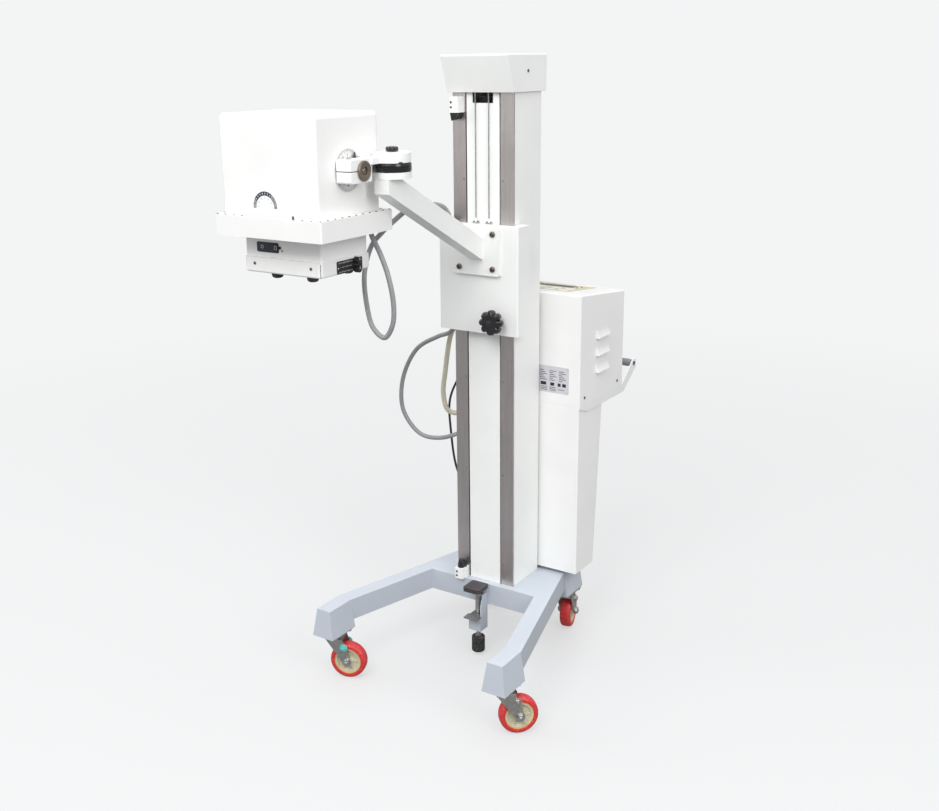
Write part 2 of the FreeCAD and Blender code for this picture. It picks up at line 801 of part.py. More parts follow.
# (head radius, head height, shank radius)
FLUSH_SCREW = (3.5, 1, 2)
SMALL_SCREW = (3, 1.5, 2)
SHEET_SCREW = (4, 2, 2)
GRIP_SCREW = (6, 3, 3)
BRACKET_BOLT = (6, 4, 3)
SKIRT_SCREW = (2.6, 1.5, 1.5)
ARM_BOLT = (7.5, 6, 4)


def screw(start, axis, size, shank_length):
    """A pan-head screw whose head stands on start and whose shank runs the other way."""
    head_radius, head_height, shank_radius = size
    head = rod(start, axis, head_radius, head_height)
    back = tuple(-part for part in axis)
    return union([head, rod(start, back, shank_radius, shank_length)])


def stand_screws():
    """Screws of the rails, stops, cap, control box, floor lock and grip."""
    screws = []
    for side in SIDES:
        x = side * (RAIL_INNER_X + RAIL_SCREW_INSET)
        for index in range(RAIL_SCREWS):
            z = RAIL_SCREW_FIRST_Z + index * RAIL_SCREW_SPACING
            flush = (x, -RAIL_THICKNESS + 1, z)
            screws.append(screw(flush, (0, -1, 0), FLUSH_SCREW, RAIL_THICKNESS - 1))
        cap = (side * CAP_HALF_WIDTH, *CAP_SCREW)
        screws.append(screw(cap, (side, 0, 0), SHEET_SCREW, SHEET))
    for low, high in (TOP_STOP_Z, BOTTOM_STOP_Z):
        for offset in (-6, 6):
            start = (STOP_LEFT_X + 8, STOP_FRONT_Y, (low + high) / 2 + offset)
            screws.append(screw(start, (0, -1, 0), SMALL_SCREW, 30))
    for x, axis in ((BOX_X[1], (1, 0, 0)), (BOX_X[0], (-1, 0, 0))):
        for y in BOX_SCREW_Y:
            screws.append(screw((x, y, BOX_SCREW_Z), axis, SHEET_SCREW, SHEET + 2))
        screws.append(screw((x, GRIP_Y, GRIP_Z), axis, GRIP_SCREW, SKIN))
    for z in LOCK_BOLT_Z:
        start = (0, DECK_FRONT_Y - LOCK_BACK_THICKNESS, z)
        screws.append(screw(start, (0, -1, 0), BRACKET_BOLT, LOCK_BACK_THICKNESS + BASE_WALL))
    return group(screws)


# ---- Control box, cabinet and handle --------------------------------------------------


def box_top(y):
    """Height of the control box's sloping top at a given y."""
    share = (y - BOX_Y[0]) / (BOX_Y[1] - BOX_Y[0])
    return BOX_FRONT_TOP + share * (BOX_REAR_TOP - BOX_FRONT_TOP)


def louver(x, outward, z):
    """A pressed hood over a vent slot, and the hollow under it."""
    hoods = []
    for shrink in (0, 1.5):
        low, high = z, z + LOUVER_HEIGHT - 2 * shrink
        reach = x + outward * (LOUVER_DEPTH - shrink)
        base = x - outward * shrink
        outline = [(base, high), (base, low), (reach, low), (reach, low + 5)]
        corners = [(px, LOUVER_Y[0] + shrink, pz) for px, pz in outline]
        length = LOUVER_Y[1] - LOUVER_Y[0] - 2 * shrink
        hoods.append(polygon_face(corners).extrude(Vector(0, length, 0)))
    return hoods


def control_box():
    """Folded cover with a sloping top, louvers on both sides and a console opening."""

    def outline(shrink):
        return [
            (BOX_Y[0] + shrink, BOX_BOTTOM),
            (BOX_Y[0] + shrink, BOX_FRONT_TOP - shrink),
            (BOX_Y[1] - shrink, BOX_REAR_TOP - shrink),
            (BOX_Y[1] - shrink, BOX_BOTTOM),
        ]

    outer = prism_x(outline(0), BOX_X)
    outer = fillet_where(
        outer, BOX_ROUNDING, lambda edge: edge_height(edge) > BOX_REAR_TOP - 40
    )
    cover = outer.cut(prism_x(outline(SHEET), inset(BOX_X, SHEET)))
    for x, outward in ((BOX_X[1], 1), (BOX_X[0], -1)):
        for z in LOUVER_Z:
            hood, hollow = louver(x, outward, z)
            mouth_x = sorted((x - outward * 3, x + outward * LOUVER_DEPTH * 0.8))
            mouth = block(mouth_x, inset(LOUVER_Y, 4), (z - 1, z + 6))
            cover = cover.fuse(hood).cut(hollow).cut(mouth)
    opening = block(CONSOLE_X, CONSOLE_Y, (BOX_REAR_TOP - 20, BOX_FRONT_TOP + 10))
    return cover.cut(opening).removeSplitter()


def console_panel():
    """Membrane control panel that lies in the opening of the sloping top."""
    y = inset(CONSOLE_Y, 0.2)
    outline = [
        (y[0], box_top(y[0]) + 0.5),
        (y[1], box_top(y[1]) + 0.5),
        (y[1], box_top(y[1]) - 5),
        (y[0], box_top(y[0]) - 5),
    ]
    return prism_x(outline, inset(CONSOLE_X, 0.2))


def power_transformer():
    """Line transformer on the floor of the control box: a stack, two coils and feet."""
    core_z = (BOX_BOTTOM + CORE_FOOT, BOX_BOTTOM + CORE_FOOT + CORE_HEIGHT)
    coil_gap = (CORE_HEIGHT - COIL_HEIGHT) / 2
    coil_z = inset(core_z, coil_gap)
    window_z = inset(coil_z, -2)
    through_y = inset(CORE_Y, -1)
    core = block(CORE_X, CORE_Y, core_z)
    for x in CORE_WINDOW_X:
        window_x = (x - CORE_WINDOW_HALF_WIDTH, x + CORE_WINDOW_HALF_WIDTH)
        core = core.cut(block(window_x, through_y, window_z))
    limb_x = (CORE_WINDOW_X[0] + CORE_WINDOW_HALF_WIDTH - 1, CORE_WINDOW_X[1] - CORE_WINDOW_HALF_WIDTH + 1)
    coil = block(COIL_X, COIL_Y, coil_z).cut(block(limb_x, through_y, inset(coil_z, -4)))
    coil = fillet_where(coil, 10, lambda edge: edge.Length > 80 and runs_along(edge, (0, 0, 1)))
    feet = []
    for x in CORE_FOOT_X:
        foot_x = (x - CORE_WINDOW_HALF_WIDTH, x + CORE_WINDOW_HALF_WIDTH)
        feet.append(block(foot_x, inset(CORE_Y, -25), (BOX_BOTTOM, BOX_BOTTOM + CORE_FOOT)))
    return group([union([core] + feet).cut(coil), coil])


def lower_cabinet():
    """Tapering cabinet under the control box, open at its top."""

    def outline(shrink):
        bottom = CABINET_BOTTOM + shrink
        return [
            (SPACER_Y + shrink, bottom),
            (SPACER_Y + shrink, BOX_BOTTOM - SKIN),
            (CABINET_TOP_Y - shrink, BOX_BOTTOM - SKIN),
            (CABINET_BOTTOM_Y - shrink, bottom),
        ]

    wide = inset(BOX_X, SKIN)
    body = prism_x(outline(0), wide)
    body = fillet_where(body, 3, lambda edge: runs_along(edge, (0, 0, 1)))
    return body.cut(prism_x(outline(SHEET), inset(wide, SHEET)))


def handle_frame():
    """Tray under the control box whose sides run back and up to the grip."""
    tray_z = (BOX_BOTTOM - SKIN, BOX_BOTTOM)
    tray = block(BOX_X, BOX_Y, tray_z)
    side_outline = [
        (BOX_Y[0], BOX_BOTTOM),
        (BOX_Y[0], BOX_BOTTOM - 8),
        (BOX_Y[0] + 45, HANDLE_PLATE_BOTTOM),
        (412, HANDLE_PLATE_BOTTOM),
        (GRIP_Y + 14, GRIP_Z - 14),
        (GRIP_Y + 14, GRIP_Z + 6),
        (GRIP_Y + 4, GRIP_Z + 15),
        (GRIP_Y - 8, GRIP_Z + 10),
        (404, BOX_BOTTOM),
    ]
    sides, lips = [], []
    for low, inner in ((BOX_X[1] - SKIN, BOX_X[1] - SHEET), (BOX_X[0], BOX_X[0] + SHEET)):
        sides.append(prism_x(side_outline, (low, low + SKIN)))
        lip_x = (inner - 2, inner) if inner > 0 else (inner, inner + 2)
        lips.append(block(lip_x, (150, 388), (BOX_BOTTOM - SKIN, BOX_BOTTOM + 34)))
    return union([tray] + sides + lips)


def handle_grip():
    """Grip tube between the two handle sides."""
    x = inset(BOX_X, SKIN)
    tube = rod_x(x, GRIP_Y, GRIP_Z, GRIP_RADIUS)
    plug = 12
    return tube.cut(rod_x(inset(x, plug), GRIP_Y, GRIP_Z, GRIP_RADIUS - 2.5))


# ---- Floor lock -----------------------------------------------------------------------


def floor_lock_bracket():
    """Guide tube for the spindle, on an angle bracket bolted to the base beam."""
    wide = (-LOCK_HALF_WIDTH, LOCK_HALF_WIDTH)
    deep = (LOCK_Y - LOCK_HALF_WIDTH, DECK_FRONT_Y)
    tube = block(wide, deep, LOCK_TUBE_Z)
    hollow = block(
        inset(wide, 3), (deep[0] + 3, LOCK_Y + LOCK_HALF_WIDTH - 3), inset(LOCK_TUBE_Z, 4)
    )
    back_y = (DECK_FRONT_Y - LOCK_BACK_THICKNESS, DECK_FRONT_Y)
    back = block(wide, back_y, (LOCK_TUBE_Z[1], LOCK_BRACKET_TOP))
    cheek_outline = [
        (DECK_FRONT_Y, LOCK_TUBE_Z[1]),
        (DECK_FRONT_Y, LOCK_CHEEK_TOP),
        (DECK_FRONT_Y - 22, LOCK_CHEEK_TOP),
        (DECK_FRONT_Y - 34, LOCK_CHEEK_TOP - 36),
        (DECK_FRONT_Y - 34, LOCK_TUBE_Z[1]),
    ]
    cheek = prism_x(cheek_outline, (LOCK_HALF_WIDTH - 3, LOCK_HALF_WIDTH))
    body = union([tube, back, cheek]).cut(hollow)
    vent = rod_x((-LOCK_HALF_WIDTH - 1, 0), LOCK_Y, LOCK_TUBE_Z[0] + 20, 4)
    bore = rod_z(0, LOCK_Y, (0, LOCK_TUBE_Z[1] + 1), LOCK_SPINDLE_RADIUS + RUNNING_GAP)
    pin_x = (LOCK_HALF_WIDTH - 4, LOCK_HALF_WIDTH + 1)
    pin = rod_x(pin_x, LEVER_HINGE_Y, LEVER_Z[0] + 2, 1.5 + RUNNING_GAP)
    return body.cut(vent).cut(bore).cut(pin)


def lock_spindle():
    """Foot-operated spindle with its pedal on top."""
    spindle = rod_z(0, LOCK_Y, (LOCK_FOOT_Z[0] + 10, PEDAL_Z[0] + 2), LOCK_SPINDLE_RADIUS)
    pedal = block((-PEDAL_X, PEDAL_X), PEDAL_Y, PEDAL_Z)
    pedal = fillet_where(pedal, 4, lambda edge: not runs_along(edge, (0, 0, 1)))
    return union([spindle, pedal])


def lock_foot():
    """Rubber foot on the end of the spindle."""
    foot = rod_z(0, LOCK_Y, LOCK_FOOT_Z, LOCK_FOOT_RADIUS)
    foot = foot.makeFillet(4, [edge for edge in foot.Edges if edge.Length > 100])
    return foot.cut(rod_z(0, LOCK_Y, (LOCK_FOOT_Z[0] + 10, 100), LOCK_SPINDLE_RADIUS))


def release_lever():
    """Pawl plate around the spindle; lifting it lets the spindle spring back up."""
    plate = block((-16, 15), (LEVER_FRONT_Y, LEVER_HINGE_Y + 1), LEVER_Z)
    tip = block((-21, 21), (LEVER_FRONT_Y, LEVER_FRONT_Y + 26), LEVER_Z)
    plate = union([plate, tip]).cut(rod_z(0, LOCK_Y, LEVER_Z, LOCK_SPINDLE_RADIUS + 1.5))
    pin = rod_x((-16, LOCK_HALF_WIDTH), LEVER_HINGE_Y, LEVER_Z[0] + 2, 1.5)
    return union([plate, pin])


# ---- Carriage and arm -----------------------------------------------------------------


def lift_knob_bore():
    """The hole that the lift lock's stem turns in."""
    y = (CARRIAGE_FRONT_Y - 1, CARRIAGE_FRONT_Y + 12)
    return rod_y(LIFT_KNOB_X, y, LIFT_KNOB_Z, LIFT_STEM_RADIUS + RUNNING_GAP)


def carriage_cover():
    """Folded sheet cover around the carriage, open behind and below."""
    wide = (-CARRIAGE_HALF_WIDTH, CARRIAGE_HALF_WIDTH)
    outer = block(wide, (CARRIAGE_FRONT_Y, CARRIAGE_REAR_Y), CARRIAGE_Z)
    outer = fillet_where(
        outer,
        4,
        lambda edge: runs_along(edge, (0, 0, 1)) and edge.CenterOfMass.y < 0,
    )
    hollow = block(
        inset(wide, SHEET),
        (CARRIAGE_FRONT_Y + SHEET, CARRIAGE_REAR_Y + 1),
        (CARRIAGE_Z[0] - 1, CARRIAGE_Z[1] - SHEET),
    )
    notch_x = COLUMN_HALF_WIDTH + 3
    notch = block(
        (-notch_x, notch_x),
        (CARRIAGE_NOTCH_Y, CARRIAGE_REAR_Y + 1),
        (CARRIAGE_Z[0], CARRIAGE_Z[1] + 1),
    )
    cover = outer.cut(hollow).cut(notch).cut(lift_knob_bore())
    ferrule_z = (CARRIAGE_Z[1], CARRIAGE_Z[1] + FERRULE_LENGTH)
    ferrules = [rod_z(side * ROPE_X, ROPE_Y, ferrule_z, FERRULE_RADIUS) for side in SIDES]
    return union([cover] + ferrules)


def carriage_frame():
    """Chassis plate with ears for the rollers and tongues that reach into the column."""
    front = CARRIAGE_FRONT_Y + SHEET
    back = front + FRAME_PLATE
    solids = [block((-FRAME_HALF_WIDTH, FRAME_HALF_WIDTH), (front, back), FRAME_Z)]
    axles = []
    for side in SIDES:
        x = sorted(side * value for value in TONGUE_X)
        solids.append(block(x, (back - 1, TONGUE_REAR_Y), TONGUE_Z))
        for z in ROLLER_Z.values():
            for ear in EARS_X:
                ear_x = sorted(side * value for value in ear)
                ear_z = (z - EAR_HALF_HEIGHT, z + EAR_HALF_HEIGHT)
                solids.append(block(ear_x, (back - 1, -6), ear_z))
            axle_x = sorted((side * EARS_X[0][0], side * EARS_X[1][1]))
            axles.append(rod_x(axle_x, roller_y(), z, ROLLER_AXLE_RADIUS))
    boss = rod_y(LIFT_KNOB_X, (front, back + 7), LIFT_KNOB_Z, 10)
    return union(solids + axles + [boss]).cut(lift_knob_bore())


def roller_y():
    """The y of the roller axles: the rollers just clear the rail faces."""
    return -RAIL_THICKNESS - ROLLER_RADIUS - RUNNING_GAP


def guide_rollers(height):
    """The pair of rollers at one height, one on each rail."""
    rollers = []
    for side in SIDES:
        x = sorted(side * value for value in ROLLER_X)
        roller = rod_x(x, roller_y(), height, ROLLER_RADIUS)
        roller = roller.makeChamfer(1.2, [e for e in roller.Edges if e.Length > 60])
        bore = rod_x(x, roller_y(), height, ROLLER_AXLE_RADIUS + RUNNING_GAP)
        rollers.append(roller.cut(bore))
    return group(rollers)


def keeper_shoes():
    """Nylon shoes on the tongues, which hold the carriage to the backs of the rails."""
    shoes = []
    for side in SIDES:
        x = sorted((side * TONGUE_X[1], side * 61))
        for z in (TONGUE_Z[0] + 5, TONGUE_Z[1] - 5 - SHOE_HEIGHT):
            shoes.append(block(x, (0.1, 13), (z, z + SHOE_HEIGHT)))
    return group(shoes)


def lift_lock_knob():
    """Star knob whose stem presses on the right rail."""
    knob = lobed_knob(
        (LIFT_KNOB_X, LIFT_KNOB_Y[1], LIFT_KNOB_Z),
        (0, -1, 0),
        LIFT_KNOB_RADIUS,
        LIFT_KNOB_Y[1] - LIFT_KNOB_Y[0],
        LIFT_KNOB_LOBES,
    )
    neck_y = (LIFT_KNOB_Y[1] - 1, CARRIAGE_FRONT_Y - 1)
    neck = rod_y(LIFT_KNOB_X, neck_y, LIFT_KNOB_Z, LIFT_NECK_RADIUS)
    stem_y = (LIFT_KNOB_Y[1] - 1, -RAIL_THICKNESS - 0.3)
    return union([knob, neck, rod_y(LIFT_KNOB_X, stem_y, LIFT_KNOB_Z, LIFT_STEM_RADIUS)])


def arm_outline(shrink):
    """The arm's side view, pulled in by shrink."""
    rise = shrink / math.cos(math.atan(ARM_SLOPE))
    top = ARM_TOP_Z - shrink
    upper = ARM_ROOT_Z[1] - rise
    lower = ARM_ROOT_Z[0] + rise
    end_y = ARM_END_Y + shrink
    knee_y = ARM_PLATE_FRONT_Y - (top - upper) / ARM_SLOPE
    return [
        (ARM_PLATE_FRONT_Y, lower),
        (end_y, lower + (ARM_PLATE_FRONT_Y - end_y) * ARM_SLOPE),
        (end_y, top),
        (knee_y, top),
        (ARM_PLATE_FRONT_Y, upper),
    ]


def arm():
    """Welded arm: bolting plate, sloping box tube, swivel rim and kingpin."""
    wide = (-ARM_HALF_WIDTH, ARM_HALF_WIDTH)
    plate = block(
        (-ARM_PLATE_HALF_WIDTH, ARM_PLATE_HALF_WIDTH),
        (ARM_PLATE_FRONT_Y, CARRIAGE_FRONT_Y),
        ARM_PLATE_Z,
    )
    plate = fillet_where(plate, 5, lambda edge: runs_along(edge, (0, 1, 0)))
    tube = prism_x(arm_outline(0), wide)
    rim = rod_z(0, SWIVEL_Y, (ARM_TOP_Z - 0.5, RIM_TOP), SWIVEL_RADIUS)
    pin = rod_z(0, SWIVEL_Y, (RIM_TOP - 1, YOKE_TOP - 6), KINGPIN_RADIUS)
    hollow = prism_x(arm_outline(ARM_WALL), inset(wide, ARM_WALL))
    root = ARM_WALL / math.cos(math.atan(ARM_SLOPE))
    mouth_z = (ARM_ROOT_Z[0] + root, ARM_ROOT_Z[1] - root)
    mouth = block(inset(wide, ARM_WALL), (ARM_PLATE_FRONT_Y, CARRIAGE_FRONT_Y), mouth_z)
    return union([plate, tube, rim, pin]).cut(hollow).cut(mouth)


def arm_bolts():
    """Four cap screws through the arm's plate into the chassis plate."""
    bolts = []
    depth = CARRIAGE_FRONT_Y + SHEET + FRAME_PLATE - ARM_PLATE_FRONT_Y
    for side in SIDES:
        for z in ARM_BOLT_Z:
            start = (side * ARM_BOLT_X, ARM_PLATE_FRONT_Y, z)
            bolt = screw(start, (0, -1, 0), ARM_BOLT, depth)
            socket_y = (start[1] - ARM_BOLT[1], start[1] - ARM_BOLT[1] / 2)
            socket = rod_y(side * ARM_BOLT_X, socket_y, z, 3)
            bolts.append(bolt.cut(socket))
    return group(bolts)


# ---- Swivel and trunnion --------------------------------------------------------------


def friction_ring():
    """Black friction ring between the arm's rim and the yoke."""
    ring = rod_z(0, SWIVEL_Y, (RIM_TOP, RING_TOP), SWIVEL_RADIUS)
    ring = ring.makeFillet(3, [edge for edge in ring.Edges if edge.Length > 200])
    return ring.cut(rod_z(0, SWIVEL_Y, (RIM_TOP, RING_TOP), KINGPIN_RADIUS))


def swivel_yoke():
    """Yoke that turns on the kingpin and clamps the head's trunnion."""
    bottom = RING_TOP + 0.3
    cup = rod_z(0, SWIVEL_Y, (bottom, YOKE_TOP), SWIVEL_RADIUS - 1)
    cup = cup.makeFillet(
        3, [edge for edge in cup.Edges if edge.Length > 200 and edge_height(edge) > YOKE_TOP - 1]
    )
    clamp = block(
        CLAMP_X,
        CLAMP_Y,
        (TILT_Z - CLAMP_HALF_HEIGHT, TILT_Z + CLAMP_HALF_HEIGHT),
    )
    clamp = fillet_where(clamp, 6, lambda edge: runs_along(edge, (1, 0, 0)))
    neck_z = (bottom, TILT_Z + CLAMP_HALF_HEIGHT)
    neck = block((CLAMP_X[0], 0), (CLAMP_Y[1] - 6, SWIVEL_Y), neck_z)
    yoke = union([cup, clamp, neck])
    kingpin = rod_z(0, SWIVEL_Y, (bottom, YOKE_TOP - 5), KINGPIN_RADIUS + RUNNING_GAP)
    stem = rod_z(0, SWIVEL_Y, (bottom, YOKE_TOP + 1), PAN_STEM_RADIUS + RUNNING_GAP)
    trunnion = rod_x(CLAMP_X, TILT_Y, TILT_Z, TRUNNION_RADIUS + RUNNING_GAP)
    slit = block(
        CLAMP_X,
        (CLAMP_Y[0], TILT_Y),
        (TILT_Z - CLAMP_SLIT / 2, TILT_Z + CLAMP_SLIT / 2),
    )
    return yoke.cut(kingpin).cut(stem).cut(trunnion).cut(slit)


def pan_lock_knob():
    """Small lobed knob that locks the swivel from above."""
    knob = lobed_knob(
        (0, SWIVEL_Y, YOKE_TOP + 1),
        (0, 0, 1),
        PAN_KNOB_RADIUS,
        PAN_KNOB_TOP - YOKE_TOP - 1,
        PAN_KNOB_LOBES,
    )
    stem = rod_z(0, SWIVEL_Y, (YOKE_TOP - 5.5, YOKE_TOP + 2), PAN_STEM_RADIUS)
    return union([knob, stem])


def trunnion_shaft():
    """Shaft with the dial flange on the head, and the end disc that retains it."""
    flange = rod_x((HEAD_X[1], HEAD_X[1] + DIAL_THICKNESS), TILT_Y, TILT_Z, DIAL_RADIUS)
    shaft = rod_x((HEAD_X[1] - 20, CLAMP_X[1]), TILT_Y, TILT_Z, TRUNNION_RADIUS)
    disc_x = (CLAMP_X[1] + 0.3, CLAMP_X[1] + 0.3 + END_DISC_THICKNESS)
    disc = rod_x(disc_x, TILT_Y, TILT_Z, END_DISC_RADIUS)
    disc = disc.makeChamfer(1, [edge for edge in disc.Edges if edge.Length > 100])
    recess = rod_x((disc_x[1] - 3, disc_x[1]), TILT_Y, TILT_Z, 9)
    bolt = rod_x((CLAMP_X[1] - 16, disc_x[1] - 1), TILT_Y, TILT_Z, 5)
    socket = rod_x((disc_x[1] - 4, disc_x[1]), TILT_Y, TILT_Z, 3)
    return group([union([flange, shaft]).cut(bolt), disc.cut(recess).cut(bolt), bolt.cut(socket)])


# ---- Tube head ------------------------------------------------------------------------


def head_housing():
    """Lead-lined cover of the tube head, rounded and open below."""
    outer = block(HEAD_X, HEAD_Y, HEAD_Z)
    outer = fillet_where(outer, HEAD_CORNER, lambda edge: edge_height(edge) > HEAD_Z[0] + 1)
    hollow = block(
        inset(HEAD_X, HEAD_WALL),
        inset(HEAD_Y, HEAD_WALL),
        (HEAD_Z[0] - 1, HEAD_Z[1] - HEAD_WALL),
    )
    hollow = fillet_where(
        hollow, HEAD_CORNER - HEAD_WALL, lambda edge: edge_height(edge) > HEAD_Z[0] + 1
    )
    bore = rod_x((HEAD_X[1] - 30, HEAD_X[1] + 1), TILT_Y, TILT_Z, TRUNNION_RADIUS)
    return outer.cut(hollow).cut(bore)


def head_skirt():
    """Base plate of the head with deep turned-down sides."""
    z = (SKIRT_BOTTOM, HEAD_Z[0])
    outer = block(SKIRT_X, SKIRT_Y, z)
    outer = fillet_where(outer, 4, lambda edge: runs_along(edge, (0, 0, 1)))
    hollow = block(
        inset(SKIRT_X, SKIRT_WALL), inset(SKIRT_Y, SKIRT_WALL), (z[0] - 1, z[1] - 3)
    )
    port = rod_z(FIELD_X, TILT_Y, (z[1] - 4, z[1] + 1), PORT_RADIUS)
    return outer.cut(hollow).cut(port)


def evenly_spaced(pair, spacing):
    """Even positions along a pair, about one spacing apart, ends included."""
    steps = max(1, round((pair[1] - pair[0]) / spacing))
    return [pair[0] + (pair[1] - pair[0]) * index / steps for index in range(steps + 1)]


def skirt_screws():
    """Row of small screws around the top of the skirt."""
    x = inset(SKIRT_X, SKIRT_SCREW_INSET)
    y = inset(SKIRT_Y, SKIRT_SCREW_INSET)
    places = [(px, py) for px in evenly_spaced(x, SKIRT_SCREW_SPACING) for py in y]
    inner_y = evenly_spaced(y, SKIRT_SCREW_SPACING)[1:-1]
    places += [(px, py) for px in x for py in inner_y]
    top = HEAD_Z[0]
    return group(screw((px, py, top), (0, 0, 1), SKIRT_SCREW, 3) for px, py in places)


def xray_tube():
    """Glass tube insert across the head, with a metal collar at each end."""
    glass_x = inset(TUBE_X, TUBE_COLLAR_LENGTH)
    glass = rod_x(glass_x, TILT_Y, TUBE_Z, TUBE_RADIUS)
    glass = glass.makeFillet(10, [edge for edge in glass.Edges if edge.Length > 100])
    collars = [
        rod_x(x, TILT_Y, TUBE_Z, TUBE_COLLAR_RADIUS)
        for x in ((TUBE_X[0], glass_x[0]), (glass_x[1], TUBE_X[1]))
    ]
    return group([glass] + collars)


def high_voltage_block():
    """High-voltage transformer and rectifier block above the tube, with its hangers."""
    x, y, z = VOLTAGE_BLOCK
    body = fillet_where(block(x, y, z), 8, lambda edge: runs_along(edge, (0, 0, 1)))
    posts = []
    for post_x in inset(x, POST_HALF_WIDTH + 2):
        for post_y in inset(y, POST_HALF_WIDTH + 2):
            posts.append(
                block(
                    (post_x - POST_HALF_WIDTH, post_x + POST_HALF_WIDTH),
                    (post_y - POST_HALF_WIDTH, post_y + POST_HALF_WIDTH),
                    (HEAD_Z[0], z[0] + 1),
                )
            )
    rests = []
    for rest_x in REST_X:
        wide = (rest_x - REST_HALF_WIDTH, rest_x + REST_HALF_WIDTH)
        deep = (TILT_Y - TRUNNION_RADIUS, TILT_Y + TRUNNION_RADIUS)
        rests.append(block(wide, deep, (TUBE_Z + TUBE_COLLAR_RADIUS, z[0] + 1)))
    return union([body] + posts + rests)


# ---- Collimator -----------------------------------------------------------------------


def collimator_body():
    """Upper casing of the collimator, which hangs from the skirt's plate."""
    z = (COVER_Z[1], HEAD_Z[0] - 3)
    outer = block(COLLIMATOR_X, COLLIMATOR_Y, z)
    outer = fillet_where(outer, 5, lambda edge: runs_along(edge, (0, 0, 1)))
    hollow = block(
        inset(COLLIMATOR_X, COLLIMATOR_WALL),
        inset(COLLIMATOR_Y, COLLIMATOR_WALL),
        (z[0], z[1] - 3),
    )
    port = rod_z(FIELD_X, TILT_Y, (z[1] - 4, z[1] + 1), PORT_RADIUS)
    button_y = (COLLIMATOR_Y[0] - 1, COLLIMATOR_Y[0] + 8)
    button = rod_y(LAMP_BUTTON_X, button_y, LAMP_BUTTON_Z, LAMP_BUTTON_RADIUS + RUNNING_GAP)
    return outer.cut(hollow).cut(port).cut(button)


def collimator_cover():
    """Lower cover with openings for the beam above and below the shutter leaves."""
    outer = block(COVER_X, COVER_Y, COVER_Z)
    outer = fillet_where(outer, 10, lambda edge: runs_along(edge, (0, 0, 1)))
    outer = fillet_where(outer, 5, lambda edge: edge_height(edge) < COVER_Z[0] + 1)
    hollow = block(
        inset(COVER_X, COLLIMATOR_WALL), inset(COVER_Y, COLLIMATOR_WALL),
        inset(COVER_Z, COLLIMATOR_WALL),
    )
    half = FIELD_OPENING / 2
    beam = block(
        (FIELD_X - half, FIELD_X + half),
        (FIELD_Y - half, FIELD_Y + half),
        (COVER_Z[0] - 1, COVER_Z[1] + 1),
    )
    cover = outer.cut(hollow).cut(beam)
    for z in FIELD_KNOB_Z.values():
        stem_x = (COVER_X[1] - 8, COVER_X[1] + 1)
        cover = cover.cut(rod_x(stem_x, FIELD_KNOB_Y, z, FIELD_STEM_RADIUS + RUNNING_GAP))
    return cover


def field_knob(height):
    """One of the two knobs that open and close the shutter leaves."""
    x = (COVER_X[1] + 0.5, COVER_X[1] + 0.5 + FIELD_KNOB_LENGTH)
    knob = rod_x(x, FIELD_KNOB_Y, height, FIELD_KNOB_RADIUS)
    knob = knob.makeChamfer(1, [edge for edge in knob.Edges if edge.Length > 45])
    stem = rod_x((COVER_X[1] - 5, x[0] + 1), FIELD_KNOB_Y, height, FIELD_STEM_RADIUS)
    return union([knob, stem])


def side_leaf(side):
    """A shutter leaf that moves in X: the left one for -1, the right one for 1."""
    near = FIELD_X + side * LEAF_GAP / 2
    x = sorted((near, near + side * SIDE_LEAF["width"]))
    y = (FIELD_Y - LEAF_LENGTH / 2, FIELD_Y + LEAF_LENGTH / 2)
    return block(x, y, (SIDE_LEAF["bottom"], SIDE_LEAF["bottom"] + LEAF_THICKNESS))


def cross_leaf(side):
    """A shutter leaf that moves in Y: the front one for -1, the rear one for 1."""
    near = FIELD_Y + side * LEAF_GAP / 2
    y = sorted((near, near + side * CROSS_LEAF["width"]))
    x = (FIELD_X - LEAF_LENGTH / 2, FIELD_X + LEAF_LENGTH / 2)
    return block(x, y, (CROSS_LEAF["bottom"], CROSS_LEAF["bottom"] + LEAF_THICKNESS))


def lamp_switch():
    """Push button that lights the field lamp."""
    y = (COLLIMATOR_Y[0] - 3, COLLIMATOR_Y[0] + 8)
    button = rod_y(LAMP_BUTTON_X, y, LAMP_BUTTON_Z, LAMP_BUTTON_RADIUS)
    front = [edge for edge in button.Edges if edge.CenterOfMass.y < y[0] + 1]
    return button.makeChamfer(0.8, front)


# ---- Cables ---------------------------------------------------------------------------


def head_cable():
    """Cable that hangs from the head in a loop and runs beside the arm to the carriage."""
    return swept_cable(HEAD_CABLE_LINE, HEAD_CABLE_RADIUS)


def carriage_cable():
    """Cable loop from behind the carriage to the cabinet."""
    return swept_cable(CARRIAGE_CABLE_LINE, LOOP_CABLE_RADIUS)


def spiral_conduit():
    """Flexible conduit from the carriage to the cabinet, behind the cable loop."""
    return swept_cable(CONDUIT_LINE, CONDUIT_RADIUS)


# ---- Assembly -------------------------------------------------------------------------


